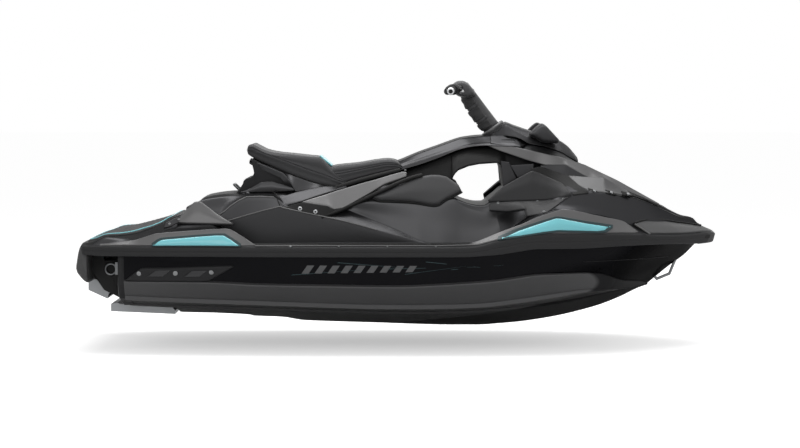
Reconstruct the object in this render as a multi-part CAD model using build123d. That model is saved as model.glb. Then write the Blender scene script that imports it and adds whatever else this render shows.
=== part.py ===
from build123d import *
import math
import os

# A sit-down personal watercraft as one decked hull with its jet pump, controls and covers.
# The frame has +X to the bow, +Y to port and +Z up, with its origin amidships at the waterline.

# Overall sizes. Every station, buttock and level below is a number of these spacings.
LENGTH = 3140.0
BEAM = 1130.0
HEIGHT = 1210.0
STATION = LENGTH / 31.4
BUTTOCK = BEAM / 11.3
LEVEL = HEIGHT / 12.1
WATERLINE = 2.0

# Jet pump, all round the pump axis
PUMP_STATION = -13.75
PUMP_LEVEL = 2.28
PUMP_OUTER = 95.0
PUMP_WALL = 15.0
PUMP_FRONT = 285.0
NOZZLE_FRONT = 68.0
NOZZLE_REAR = 48.0
NOZZLE_WALL = 6.0
NOZZLE_LENGTH = 110.0
RING_WALL = 12.0
RING_LENGTH = 32.0
PIN_RADIUS = 8.0
SHAFT_RADIUS = 12.0
RUNNING_GAP = 6.0
BLADE_COUNT = 3
VANE_COUNT = 4

# Tunnel that the pump stands in, with the ride plate closing it below, as buttocks
TUNNEL_HALF = 1.80
TUNNEL_FIT = 0.04
RIDE_PLATE_HALF = TUNNEL_HALF - TUNNEL_FIT

# Steering pole and handlebar
POLE_LEAN = 35.5
POLE_BASE = 42.0
POLE_TOP = 34.0
POLE_LENGTH = 262.0
COLLAR_RADIUS = 62.0
BAR_RADIUS = 11.0
GRIP_RADIUS = 17.0

# Each half of the bar, and its lever, in millimetres ahead of, beside and above the pole's top
BAR_PATH = ((-2.856, 90.0, -7.298), (-55.856, 245.0, -20.298), (-63.856, 388.0, -27.298))
LEVER_PATH = ((-47.856, 210.0, -15.298), (-2.856, 215.0, -23.298), (-12.856, 345.0, -33.298))
BAR_PAD_LOW = (-53.0, -95.0, -25.0)
BAR_PAD_HIGH = (37.0, 95.0, 14.7)

# Shells and small parts
RAIL_DEPTH = 0.13
COVER_DEPTH = 0.10
INLAY_DEPTH = 0.06
MAT_DEPTH = 0.08
TUB_WALL = 5.0
LID_GAP = 0.06
SEAT_GAP = 0.06
EYE_ROD = 7.0

# Frames from stern to bow: station, rail (buttock, level), deck edge level, shoulder buttock, deck level
FRAMES = (
    (-15.5, 4.05, 3.79, 4.05, 3.60, 4.25),
    (-14.2, 4.70, 3.79, 4.27, 4.10, 4.65),
    (-12.2, 5.02, 3.79, 4.27, 4.25, 5.15),
    (-10.5, 5.17, 3.79, 4.27, 4.25, 5.75),
    (-9.6, 5.24, 3.79, 4.27, 4.40, 5.50),
    (-8.3, 5.32, 3.79, 4.27, 4.90, 5.05),
    (-6.8, 5.42, 3.79, 4.27, 5.25, 4.38),
    (0.4, 5.52, 3.79, 4.27, 5.30, 4.35),
    (3.2, 5.52, 3.79, 4.27, 5.25, 4.35),
    (4.7, 5.45, 3.89, 4.57, 5.00, 4.93),
    (7.0, 5.18, 4.17, 4.85, 4.60, 5.80),
    (8.7, 4.75, 4.19, 4.84, 3.95, 5.88),
    (10.6, 4.05, 4.22, 4.81, 3.25, 5.40),
    (12.3, 3.05, 4.24, 4.74, 2.20, 5.20),
    (14.0, 1.85, 4.26, 4.68, 1.25, 5.00),
    (15.0, 0.90, 4.28, 4.68, 0.55, 4.85),
)

# Bottom of the hull: station, keel level, strake (buttock, level), chine (buttock, level)
BOTTOM = (
    (-13.5, 0.60, 2.60, 1.19, 4.50, 1.86),
    (-6.8, 0.43, 2.60, 1.04, 4.60, 1.62),
    (0.4, 0.06, 2.60, 0.87, 4.68, 1.42),
    (3.2, 0.01, 2.56, 0.92, 4.60, 1.45),
    (4.7, 0.06, 2.50, 0.98, 4.50, 1.52),
    (7.0, 0.32, 2.30, 1.20, 4.20, 1.84),
    (8.7, 0.66, 1.95, 1.45, 3.80, 2.05),
    (10.6, 1.26, 1.35, 1.80, 3.05, 2.35),
    (12.3, 2.15, 0.65, 2.38, 1.75, 2.85),
    (14.0, 3.50, 0.20, 3.56, 0.60, 3.75),
)

# Pedestal under the seat: station, crease (buttock, level), shoulder (buttock, level), top level
PEDESTAL_BUTTOCK = 3.0
PEDESTAL = (
    (-10.5, 2.90, 5.90, 2.50, 6.00, 6.03),
    (-9.6, 2.90, 6.05, 2.45, 6.40, 6.45),
    (-8.3, 2.90, 5.45, 2.50, 6.10, 6.55),
    (-6.8, 2.90, 5.60, 2.45, 6.40, 6.55),
    (-5.6, 2.90, 6.00, 2.35, 6.30, 6.55),
    (-3.8, 2.88, 5.66, 2.30, 6.20, 6.55),
    (-1.1, 2.90, 4.92, 2.35, 6.75, 7.20),
    (0.4, 2.90, 4.65, 2.45, 6.30, 7.30),
    (3.2, 2.90, 4.60, 2.45, 5.75, 6.20),
    (4.7, 2.92, 5.10, 2.40, 5.70, 6.40),
)

# Front cowl: station, foot buttock, flank (buttock, level), shoulder (buttock, level), top level
COWL = (
    (4.7, 4.30, 3.90, 5.60, 3.00, 6.25, 6.55),
    (5.15, 4.40, 4.00, 5.80, 3.00, 7.05, 7.95),
    (7.0, 4.50, 4.05, 6.20, 2.85, 7.60, 8.00),
    (8.7, 3.90, 3.50, 6.50, 2.45, 7.45, 7.80),
    (10.6, 3.20, 2.95, 6.05, 2.15, 6.75, 7.00),
    (12.3, 2.15, 1.85, 5.65, 1.30, 6.00, 6.15),
    (13.0, 1.80, 1.55, 5.45, 1.05, 5.72, 5.98),
    (14.0, 1.20, 1.00, 5.15, 0.65, 5.35, 5.52),
)

# Storage lid over the front cowl: station, half breadth, top level
LID = (
    (9.05, 1.70, 7.98),
    (10.6, 1.50, 7.29),
    (12.3, 0.90, 6.36),
    (12.88, 0.75, 6.12),
)

# Side outlines, as (station, level)
SEAT_TOP = (
    (0.10, 7.95), (0.00, 8.08), (-0.32, 8.30), (-0.62, 8.34), (-1.12, 8.29), (-2.11, 8.13),
    (-3.40, 7.98),
)
SEAT_SEAM = ((-3.10, 6.93), (-3.40, 7.98))
BOLSTER_TOP = (
    (-3.55, 8.13), (-3.95, 8.47), (-5.09, 8.60), (-5.99, 8.70), (-6.58, 8.80), (-7.08, 9.05),
    (-7.23, 9.14), (-7.38, 9.12), (-7.53, 8.82), (-7.48, 8.57),
)
SEAT_LOWER = (
    (-7.28, 8.42), (-6.09, 7.98), (-5.09, 7.58), (-4.10, 7.23), (-3.10, 6.93), (-2.61, 6.98),
    (-2.11, 7.18), (-0.12, 7.78), (0.10, 7.85),
)
REAR_COWL = (
    (-7.36, 8.38), (-7.22, 7.93), (-7.12, 7.64), (-7.22, 7.49), (-7.51, 7.47), (-7.68, 7.36),
    (-7.71, 7.14), (-7.96, 6.79), (-8.06, 6.50), (-3.10, 6.40), (0.30, 7.00),
)
SIDE_STRIP = (
    (-5.76, 6.07), (-4.87, 6.29), (-5.06, 6.39), (-4.08, 6.56), (-2.59, 7.06), (-0.12, 7.75),
    (0.32, 7.83), (0.32, 7.70), (-0.12, 7.48), (-1.11, 6.91), (-2.10, 6.37), (-3.09, 5.92),
    (-4.08, 6.17),
)
KNEE_PAD = (
    (-1.31, 6.52), (-0.62, 6.81), (-0.12, 7.06), (0.87, 7.46), (1.56, 7.60), (1.95, 7.60),
    (2.25, 7.54), (2.84, 7.16), (2.99, 6.96), (3.06, 6.81), (2.94, 6.77), (2.25, 6.42),
    (1.85, 6.14), (1.66, 6.12), (0.87, 6.25), (0.37, 6.32), (-1.01, 6.35),
)
BRIDGE_COVER = (
    (0.22, 8.35), (0.88, 8.61), (1.87, 8.96), (2.87, 9.31), (3.87, 9.46), (4.67, 9.49),
    (5.57, 9.49), (5.87, 9.41), (6.32, 9.09), (5.87, 8.95), (5.27, 8.98), (4.27, 9.01),
    (3.37, 8.95), (2.87, 8.81), (1.87, 8.41), (0.88, 8.06), (0.22, 7.86),
)
BRIDGE = (
    (0.40, 7.00), (0.40, 7.92), (0.88, 8.06), (1.87, 8.41), (2.87, 8.81), (3.37, 8.95),
    (4.27, 9.01), (5.27, 8.98), (5.87, 8.95), (5.87, 7.90), (5.10, 7.90), (4.92, 8.06),
    (4.77, 8.17), (3.87, 8.11), (3.37, 8.01), (2.87, 7.81), (2.72, 7.66), (2.57, 7.36),
    (2.50, 6.20),
)
DASH = (
    (5.87, 7.60), (5.87, 8.95), (6.32, 9.09), (6.86, 9.01), (7.86, 8.73), (8.70, 8.25),
    (8.80, 7.60),
)
VISOR = (
    (4.66, 9.51), (4.86, 9.76), (5.16, 10.09), (5.26, 10.11), (5.86, 9.86), (6.36, 9.68),
    (7.86, 9.23), (8.35, 8.91), (8.85, 8.31), (8.80, 8.17), (7.86, 8.73), (6.86, 9.01),
    (6.32, 9.09), (5.87, 9.41), (5.57, 9.49),
)
BLADE = (
    (4.22, 9.07), (5.31, 8.94), (6.30, 8.79), (7.28, 8.64), (8.27, 8.35), (8.67, 8.15),
    (9.80, 7.67), (10.60, 7.28), (10.30, 7.12), (9.25, 7.48), (8.37, 8.03), (7.78, 8.10),
    (6.79, 8.15), (5.80, 8.42), (4.82, 8.76),
)
VENT_PANEL = (
    (8.17, 7.57), (10.55, 7.22), (11.23, 6.68), (10.85, 6.57), (10.25, 6.69), (10.05, 6.84),
    (9.26, 6.79), (9.12, 6.93),
)
FOOT_GUARD = (
    (4.38, 6.32), (4.38, 6.51), (4.58, 6.71), (5.36, 7.20), (5.95, 7.54), (6.54, 7.74),
    (6.93, 7.69), (7.62, 7.29), (8.01, 7.00), (8.20, 6.71), (8.11, 6.61), (6.73, 6.33),
    (4.78, 6.22),
)
MIRROR = (
    (6.53, 9.71), (6.68, 9.98), (6.83, 10.13), (6.99, 10.13), (7.15, 10.01), (7.76, 9.26),
    (6.90, 9.05),
)
SPONSON = (
    (-13.13, 2.62), (-12.56, 3.12), (-12.36, 3.27), (-11.21, 3.28), (-8.80, 3.38),
    (-7.98, 3.41), (-7.93, 3.31), (-8.51, 2.98), (-9.13, 2.62),
)
CHOCK = (
    (-10.65, 5.45), (-10.02, 6.22), (-9.92, 6.34), (-9.67, 6.36), (-9.48, 6.24),
    (-8.21, 5.32), (-8.41, 4.90),
)
RIDE_PLATE = (
    (-14.25, 0.86), (-14.25, 1.22), (-13.95, 1.28), (-13.79, 1.22), (-11.88, 1.16),
    (-11.23, 1.09), (-11.08, 0.89), (-11.08, 0.72),
)
BUMPER = (
    (-15.50, 4.26), (-15.58, 3.87), (-15.65, 3.27), (-15.70, 3.12), (-15.60, 2.87),
    (-15.50, 2.73), (-15.30, 2.53), (-15.10, 2.40), (-15.00, 2.53), (-15.00, 3.79),
    (-15.50, 3.79),
)
FOOTWELL_FLOOR = 3.00
FOOTWELL_REAR = -7.60
FOOTWELL_TOE = 3.30
FOOTWELL_FRONT = 4.55
FOOTWELL = (
    (-8.60, 6.00), (FOOTWELL_REAR, FOOTWELL_FLOOR), (FOOTWELL_TOE, FOOTWELL_FLOOR),
    (FOOTWELL_FRONT, 4.20), (FOOTWELL_FRONT, 6.00),
)
FOOTWELL_INNER = 3.05
FOOTWELL_OUTER = 4.80

# Front and rear side covers lie on the deck's facet: station, lower and upper share of its width
FRONT_COVER = ((3.2, 0.0, 0.2), (4.7, 0.0, 1.0), (7.0, 0.0, 1.0), (8.7, 0.0, 1.0), (11.4, 0.0, 0.9))
FRONT_INLAY = ((4.9, 0.10, 0.15), (7.0, 0.12, 0.70), (7.6, 0.15, 0.78), (10.2, 0.15, 0.55))
REAR_COVER = ((-14.4, 0.0, 0.2), (-12.2, 0.0, 0.7), (-10.5, 0.0, 0.5), (-8.3, 0.0, 1.0), (-6.8, 0.0, 0.6))
REAR_INLAY = ((-11.8, 0.06, 0.12), (-11.3, 0.06, 0.32), (-8.5, 0.10, 0.78), (-7.7, 0.10, 0.20))


def x_at(station):
    return station * STATION


def y_at(buttock):
    return buttock * BUTTOCK


def z_at(level):
    return (level - WATERLINE) * LEVEL


def row_at(table, station):
    """Row of a table at a station, in a straight line between its neighbours."""
    for before, after in zip(table, table[1:]):
        if before[0] <= station <= after[0]:
            share = (station - before[0]) / (after[0] - before[0])
            return tuple(a + share * (b - a) for a, b in zip(before, after))
    raise ValueError("station outside the table")


def stations_of(*tables):
    found = set()
    for table in tables:
        found.update(row[0] for row in table)
    return found


def side_face(outline, buttock):
    """Flat face of a side outline on the starboard side at a buttock line."""
    corners = [(x_at(s), -y_at(buttock), z_at(level)) for s, level in outline]
    return make_face(Polyline(*corners, close=True))


def slab(outline, inner, outer):
    """Starboard slab of a side outline between two buttock lines."""
    return extrude(side_face(outline, inner), y_at(outer - inner), dir=(0, -1, 0))


def centred(outline, half):
    """Slab of a side outline that spans the centre plane."""
    return extrude(side_face(outline, half), 2 * y_at(half), dir=(0, 1, 0))


def frame_face(station, half):
    """Cross section from its starboard half, listed from the centre bottom to the centre top."""
    port = [(x_at(station), y_at(b), z_at(level)) for b, level in half]
    starboard = [(x, -y, z) for x, y, z in reversed(port) if y > 0]
    return make_face(Polyline(*port, *starboard, close=True))


def full_loft(sections):
    return loft([frame_face(station, half) for station, half in sections], ruled=True)


def side_loft(sections):
    """Starboard loft of closed cross sections, each listed as (buttock, level)."""
    faces = []
    for station, ring in sections:
        corners = [(x_at(station), -y_at(b), z_at(level)) for b, level in ring]
        faces.append(make_face(Polyline(*corners, close=True)))
    return loft(faces, ruled=True)


def pair(shape):
    """A starboard piece and its port twin."""
    return Compound([shape.solids()[0], mirror(shape, about=Plane.XZ).solids()[0]])


def rod(start, end, radius):
    """Round bar between two points in millimetres."""
    along = Vector(*end) - Vector(*start)
    base = Plane(origin=start, z_dir=along)
    return extrude(base * Circle(radius), along.length)


def local(x, y, z):
    """Point in millimetres from the pump axis at the nozzle's pivot."""
    return (x_at(PUMP_STATION) + x, y, z_at(PUMP_LEVEL) + z)


def turned(profile):
    """Solid turned round the pump axis from (distance along, radius) points."""
    corners = [local(x, 0, radius) for x, radius in profile]
    face = make_face(Polyline(*corners, close=True))
    return revolve(face, Axis(local(0, 0, 0), (1, 0, 0)))


def biggest(shape):
    return max(shape.solids(), key=lambda solid: solid.volume)


def footwell():
    return slab(FOOTWELL, FOOTWELL_INNER, FOOTWELL_OUTER)


def footwells():
    return footwell() + mirror(footwell(), about=Plane.XZ)


def box_between(low, high):
    """Box between two corners given as (station, buttock, level)."""
    size = (x_at(high[0] - low[0]), y_at(high[1] - low[1]), (high[2] - low[2]) * LEVEL)
    corner = Location((x_at(low[0]), y_at(low[1]), z_at(low[2])))
    return corner * Box(*size, align=(Align.MIN, Align.MIN, Align.MIN))


def engine_bay():
    return box_between((-4.3, -2.3, 1.35), (2.8, 2.3, 5.75))


def storage_bay():
    return box_between((9.25, -1.2, 5.0), (11.4, 1.2, 8.2))


def shaft_bore():
    start = (x_at(-10.95), 0, z_at(PUMP_LEVEL))
    end = (x_at(-4.2), 0, z_at(PUMP_LEVEL))
    return rod(start, end, SHAFT_RADIUS + RUNNING_GAP)


def intake():
    outline = ((-10.95, 0.10), (-10.95, 3.08), (-10.5, 3.08), (-7.2, 0.70), (-7.0, 0.10))
    return centred(outline, 0.80)


def hull_body():
    """Whole hull from the keel to the rail."""
    sections = []
    for s, keel, strake_b, strake, chine_b, chine in BOTTOM:
        rail = row_at(FRAMES, s)
        half = ((0, keel), (strake_b, strake), (chine_b, chine), (rail[1], rail[2]), (0, rail[2]))
        sections.append((s, half))
    body = full_loft(sections)
    tunnel_front = local(PUMP_FRONT, 0, 0)[0] / STATION
    body -= box_between((-13.6, -TUNNEL_HALF, 0.0), (tunnel_front, TUNNEL_HALF, 3.45))
    body -= intake()
    body -= shaft_bore()
    body -= engine_bay()
    body -= footwells()
    return biggest(body)


def hull_block(low, high):
    """Part of the hull inside the box between two corners given as (station, buttock, level)."""
    return hull_body() & box_between(low, high)


def hull():
    """Hull under the footwells' floor, ahead of the stern."""
    return biggest(hull_block((FOOTWELL_REAR, -6, -1), (16, 6, FOOTWELL_FLOOR)))


def stern_hull():
    """Hull behind the footwells, with the pump's tunnel in it."""
    return biggest(hull_block((-16, -6, -1), (FOOTWELL_REAR, 6, 9)))


def topsides():
    """Walls and bow of the hull from the footwells' floor up to the rail."""
    walls = hull_block((FOOTWELL_REAR, -6, FOOTWELL_FLOOR), (FOOTWELL_TOE, 6, 9))
    bow = hull_block((FOOTWELL_TOE, -6, FOOTWELL_FLOOR), (16, 6, 9))
    return Compound(walls.solids() + [biggest(bow)])


def deck_body():
    """Whole deck from stern to bow."""
    sections = []
    for s, b, rail, edge, shoulder, top in FRAMES:
        sections.append((s, ((0, rail), (b, rail), (b, edge), (shoulder, top), (0, top))))
    body = full_loft(sections)
    body -= engine_bay()
    body -= storage_bay()
    body -= footwells()
    return biggest(body)


def ahead_of_footwells():
    return box_between((FOOTWELL_FRONT, -6, 3), (16, 6, 9))


def deck():
    return biggest(deck_body() - ahead_of_footwells())


def foredeck():
    return biggest(deck_body() & ahead_of_footwells())


def pedestal():
    stations = stations_of(PEDESTAL)
    stations.update(s for s in stations_of(FRAMES) if -10.5 <= s <= 4.7)
    sections = []
    for s in sorted(stations):
        _, crease_b, crease, shoulder_b, shoulder, top = row_at(PEDESTAL, s)
        foot = row_at(FRAMES, s)[5]
        half = (
            (0, foot), (PEDESTAL_BUTTOCK, foot), (crease_b, crease), (shoulder_b, shoulder), (0, top),
        )
        sections.append((s, half))
    return biggest(full_loft(sections) - engine_bay())


def front_cowl():
    stations = stations_of(COWL)
    stations.update(s for s in stations_of(FRAMES) if 4.7 <= s <= 14.0)
    sections = []
    for s in sorted(stations):
        _, foot_b, flank_b, flank, shoulder_b, shoulder, top = row_at(COWL, s)
        foot = row_at(FRAMES, s)[5]
        edge_b = min(foot_b, row_at(FRAMES, s)[4])
        top_b = shoulder_b * 0.75
        half = (
            (0, foot), (edge_b, foot), (flank_b, flank), (shoulder_b, shoulder), (top_b, top), (0, top),
        )
        sections.append((s, half))
    return biggest(full_loft(sections) - storage_bay())


def bow_cap():
    low = full_loft((
        (14.0, ((0, 3.50), (0.60, 3.75), (1.85, 4.26), (0, 4.26))),
        (15.0, ((0, 4.10), (0.35, 4.15), (0.90, 4.28), (0, 4.28))),
    ))
    nose = full_loft((
        (15.0, ((0, 4.10), (0.35, 4.15), (0.90, 4.28), (0.90, 4.68), (0, 4.90))),
        (15.7, ((0, 4.48), (0.20, 4.50), (0.38, 4.54), (0.38, 4.62), (0, 4.66))),
    ))
    return low + nose


def rub_rails():
    sections = []
    for s, b, rail, edge, _, _ in FRAMES:
        ring = ((b, rail), (b, edge), (b + RAIL_DEPTH, edge), (b + RAIL_DEPTH, rail))
        sections.append((s, ring))
    return pair(side_loft(sections))


def facet_point(station, share, out):
    """Point on the deck's side facet: a share of the way up it and a distance out from it."""
    _, b, _, edge, shoulder, top = row_at(FRAMES, station)
    return (b + share * (shoulder - b) + out, edge + share * (top - edge) + out / 2)


def facet_strips(table, inner, outer):
    stations = stations_of(table)
    low = min(stations)
    high = max(stations)
    stations.update(s for s in stations_of(FRAMES) if low < s < high)
    sections = []
    for s in sorted(stations):
        _, start, end = row_at(table, s)
        ring = (
            facet_point(s, start, inner), facet_point(s, end, inner),
            facet_point(s, end, outer), facet_point(s, start, outer),
        )
        sections.append((s, ring))
    return side_loft(sections)


def side_cover(table):
    return biggest(facet_strips(table, 0.0, COVER_DEPTH) - deck_body())


def side_covers():
    return Compound(pair(side_cover(FRONT_COVER)).solids() + pair(side_cover(REAR_COVER)).solids())


def side_inlay(table, cover):
    strip = facet_strips(table, COVER_DEPTH - 0.02, COVER_DEPTH + INLAY_DEPTH)
    return biggest(strip - facet_strips(cover, 0.0, COVER_DEPTH))


def side_inlays():
    front = pair(side_inlay(FRONT_INLAY, FRONT_COVER))
    rear = pair(side_inlay(REAR_INLAY, REAR_COVER))
    return Compound(front.solids() + rear.solids())


def sponsons():
    return pair(slab(SPONSON, 4.4, 5.25) - hull_body())


def deck_chocks():
    return pair(slab(CHOCK, 3.05, 4.20) - deck_body() - pedestal())


def seat_base():
    outline = SEAT_LOWER + ((0.30, 7.85),) + tuple(reversed(REAR_COWL))
    return biggest(centred(outline, 1.75) - pedestal())


def seat():
    lifted = [(s, level + SEAT_GAP) for s, level in SEAT_LOWER if s >= -3.10]
    return centred(tuple(lifted) + SEAT_TOP, 1.65)


def seat_bolster():
    lifted = [(s, level + SEAT_GAP) for s, level in SEAT_LOWER if s <= -3.10]
    return centred(tuple(lifted) + (SEAT_SEAM[1],) + BOLSTER_TOP, 1.75)


def side_strips():
    return pair(slab(SIDE_STRIP, 1.75, 2.42) - pedestal())


def knee_pads():
    pad = slab(KNEE_PAD, 1.05, 2.60) - pedestal() - seat_base() - slab(SIDE_STRIP, 1.75, 2.42)
    return pair(biggest(pad))


def bridge():
    return biggest(centred(BRIDGE, 1.05) - pedestal() - front_cowl() - centred(BRIDGE_COVER, 1.35))


def steering_axis(distance):
    """Point in millimetres up the steering axis from the top of its collar."""
    lean = math.radians(POLE_LEAN)
    x = x_at(4.60) - math.sin(lean) * distance
    z = z_at(9.82) + math.cos(lean) * distance
    return (x, 0, z)


def at_pole_top(x, y, z):
    """Point in millimetres from the middle of the pole's top."""
    top = steering_axis(POLE_LENGTH)
    return (top[0] + x, top[1] + y, top[2] + z)


def pole_space():
    return rod(steering_axis(-90), steering_axis(400), COLLAR_RADIUS + RUNNING_GAP)


def bridge_cover():
    return biggest(centred(BRIDGE_COVER, 1.35) - pole_space())


def dash():
    return biggest(centred(DASH, 1.50) - front_cowl() - centred(VISOR, 1.60))


def visor():
    return biggest(centred(VISOR, 1.60) - pole_space())


def hood_blades():
    return pair(slab(BLADE, 1.85, 2.50) - front_cowl())


def vent_panels():
    return pair(slab(VENT_PANEL, 1.90, 2.60) - front_cowl() - slab(BLADE, 1.85, 2.50))


def foot_guards():
    return pair(slab(FOOT_GUARD, 2.9, 3.55) - front_cowl() - deck_body())


def mirrors():
    return pair(slab(MIRROR, 1.60, 2.95))


def hood():
    sections = []
    for s, half_b, top in LID:
        seat_level = row_at(COWL, s)[6] + LID_GAP
        sections.append((s, ((0, seat_level), (half_b, seat_level), (half_b * 0.8, top), (0, top))))
    return full_loft(sections)


def storage_tub():
    outer = box_between((9.25, -1.2, 5.0), (11.4, 1.2, 6.5))
    low = outer.bounding_box().min
    high = outer.bounding_box().max
    size = (high.X - low.X - 2 * TUB_WALL, high.Y - low.Y - 2 * TUB_WALL, high.Z - low.Z)
    room = Location((low.X + TUB_WALL, low.Y + TUB_WALL, low.Z + TUB_WALL)) * Box(
        *size, align=(Align.MIN, Align.MIN, Align.MIN)
    )
    return outer - room


def engine():
    block = box_between((-3.9, -1.9, 1.6), (2.4, 1.9, 5.5))
    for s in (-3.5, 1.6):
        for b in (-1.8, 1.3):
            block += box_between((s, b, 1.35), (s + 0.5, b + 0.5, 1.6))
    return block


def pump_housing():
    rear = 47.0
    cone = 70.0
    front = PUMP_FRONT
    bore = PUMP_OUTER - PUMP_WALL
    outlet = NOZZLE_FRONT - 18.0
    shell = turned((
        (rear, outlet - NOZZLE_WALL), (rear, outlet), (cone + 5, PUMP_OUTER), (front, PUMP_OUTER),
        (front, bore), (cone + 20, bore),
    ))
    flange = Location(local(front - 6, 0, 0)) * Box(12, 2 * y_at(TUNNEL_HALF - TUNNEL_FIT), 190)
    flange -= turned(((front - 20, 0), (front - 20, bore), (front + 20, bore), (front + 20, 0)))
    shell += flange
    hub = rod(local(cone + 25, 0, 0), local(cone + 75, 0, 0), 24)
    for index in range(VANE_COUNT):
        vane = Location(local(cone + 50, 0, 0)) * Rotation(45 + 360 * index / VANE_COUNT, 0, 0)
        hub += vane * Location((0, 0, (bore + 24) / 2)) * Box(40, 5, bore - 22)
    for side in (-1, 1):
        arm = Location(local(30, side * 103, 0)) * Box(130, 10, 40)
        arm += Location(local(85, side * 97, 0)) * Box(20, 16, 40)
        arm -= rod(local(0, side * 90, 0), local(0, side * 120, 0), PIN_RADIUS + RUNNING_GAP)
        shell += arm
    return biggest(shell + hub)


def impeller():
    start = 155.0
    length = 90.0
    tip = PUMP_OUTER - PUMP_WALL - RUNNING_GAP
    hub = rod(local(start, 0, 0), local(start + length, 0, 0), 22)
    for index in range(BLADE_COUNT):
        spin = Rotation(360 * index / BLADE_COUNT, 0, 0)
        blade = Location((0, 0, (tip + 18) / 2)) * Rotation(0, 0, 40) * Box(78, 5, tip - 20)
        hub += Location(local(start + length / 2, 0, 0)) * spin * blade
    return hub


def drive_shaft():
    start = local(245, 0, 0)
    end = (x_at(-4.12), 0, z_at(PUMP_LEVEL))
    return rod(start, end, SHAFT_RADIUS)


def trim_ring():
    inner = NOZZLE_FRONT + 10.0
    outer = inner + RING_WALL
    half = RING_LENGTH / 2
    ring = turned(((-half, inner), (-half, outer), (half, outer), (half, inner)))
    for side in (-1, 1):
        ring += rod(local(0, side * (inner + 4), 0), local(0, side * 126, 0), PIN_RADIUS)
        ring -= rod(local(0, 0, side * 60), local(0, 0, side * 100), PIN_RADIUS + RUNNING_GAP)
    return ring


def steering_nozzle():
    front = 15.0
    rear = front - NOZZLE_LENGTH
    shell = turned((
        (rear, NOZZLE_REAR - NOZZLE_WALL), (rear, NOZZLE_REAR), (-20, NOZZLE_FRONT),
        (front, NOZZLE_FRONT), (front, NOZZLE_FRONT - NOZZLE_WALL), (-20, NOZZLE_FRONT - NOZZLE_WALL),
    ))
    for side in (-1, 1):
        shell += rod(local(0, 0, side * 65), local(0, 0, side * 92), PIN_RADIUS)
    return shell


def reverse_bucket():
    wide = 120.0
    wall = 5.0
    outline = (
        (-168, -42), (-168, 8), (-138, 24), (26, 24), (26, -24), (-60, -40), (-75, -85),
    )
    room = ((-163, -37), (-163, 60), (60, 60), (60, -60), (-55, -60), (-70, -80))
    corners = [local(x, -wide, z) for x, z in outline]
    shell = extrude(make_face(Polyline(*corners, close=True)), 2 * wide, dir=(0, 1, 0))
    corners = [local(x, wall - wide, z) for x, z in room]
    shell -= extrude(make_face(Polyline(*corners, close=True)), 2 * (wide - wall), dir=(0, 1, 0))
    shell -= rod(local(0, -wide - 20, 0), local(0, wide + 20, 0), PIN_RADIUS + RUNNING_GAP)
    return shell


def ride_plate():
    return centred(RIDE_PLATE, RIDE_PLATE_HALF)


def intake_grate():
    grate = None
    for b in (-0.6, -0.3, 0.0, 0.3, 0.6):
        bar = rod((x_at(-10.88), y_at(b), z_at(0.95)), (x_at(-7.3), y_at(b), z_at(0.62)), 6)
        grate = bar if grate is None else grate + bar
    grate += box_between((-9.6, -0.8, 0.72), (-9.4, 0.8, 0.86))
    return grate - hull_body()


def stern_bumper():
    bumper = slab(BUMPER, 1.5, 3.6)
    bumper += mirror(bumper, about=Plane.XZ)
    bumper += box_between((-15.62, -1.5, 4.06), (-15.5, 1.5, 4.25))
    return biggest(bumper - deck_body())


def boarding_step():
    board = box_between((-15.67, -1.35, 3.09), (-15.54, 1.35, 3.99))
    board -= box_between((-15.70, -1.05, 3.35), (-15.50, 1.05, 3.75))
    hinge = rod((x_at(-15.62), y_at(-1.42), z_at(3.03)), (x_at(-15.62), y_at(1.42), z_at(3.03)), 8)
    return board + hinge


def stern_eyes():
    ring = Location((x_at(-14.08), -y_at(3.0), z_at(3.04))) * Rotation(90, 0, 0) * Torus(26, 5)
    plate = box_between((-13.86, -3.12, 2.77), (-13.5, -2.88, 3.37))
    return pair(ring + plate)


def bow_eye():
    path = ((12.70, 2.50), (12.85, 2.32), (13.48, 2.58), (13.73, 3.20), (13.90, 3.52))
    eye = None
    for (s0, l0), (s1, l1) in zip(path, path[1:]):
        piece = rod((x_at(s0), 0, z_at(l0)), (x_at(s1), 0, z_at(l1)), EYE_ROD)
        piece += Location((x_at(s1), 0, z_at(l1))) * Sphere(EYE_ROD)
        eye = piece if eye is None else eye + piece
    return biggest(eye - hull_body() - bow_cap())


def mooring_eyes():
    return Compound(stern_eyes().solids() + bow_eye().solids())


def tow_hook():
    path = ((-7.95, 0.35, 6.75), (-8.25, 0.35, 7.05), (-8.25, -0.35, 7.05), (-7.95, -0.35, 6.75))
    points = [(x_at(s), y_at(b), z_at(level)) for s, b, level in path]
    hook = None
    for start, end in zip(points, points[1:]):
        piece = rod(start, end, EYE_ROD) + Location(end) * Sphere(EYE_ROD)
        hook = piece if hook is None else hook + piece
    return biggest(hook - seat_base() - pedestal())


def rear_mat():
    sections = []
    for s in (-15.2, -14.2, -12.2, -11.0):
        _, _, _, _, shoulder, top = row_at(FRAMES, s)
        half_b = shoulder - 0.35
        sections.append((s, ((0, top), (half_b, top), (half_b, top + MAT_DEPTH), (0, top + MAT_DEPTH))))
    return full_loft(sections)


def footwell_mats():
    low = (-7.4, -4.7, FOOTWELL_FLOOR)
    high = (3.2, -3.15, FOOTWELL_FLOOR + MAT_DEPTH)
    return pair(box_between(low, high))


def deck_mats():
    return Compound(rear_mat().solids() + footwell_mats().solids())


def pole_collar():
    return biggest(rod(steering_axis(-75), steering_axis(0), COLLAR_RADIUS) - bridge() - dash())


def handle_pole():
    upward = Vector(*steering_axis(10)) - Vector(*steering_axis(0))
    base = Plane(origin=steering_axis(RUNNING_GAP), z_dir=upward)
    top = Plane(origin=steering_axis(POLE_LENGTH), z_dir=base.z_dir)
    return loft([base * Circle(POLE_BASE), top * Circle(POLE_TOP)])


def bar_points():
    return [at_pole_top(x, -y, z) for x, y, z in BAR_PATH]


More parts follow.
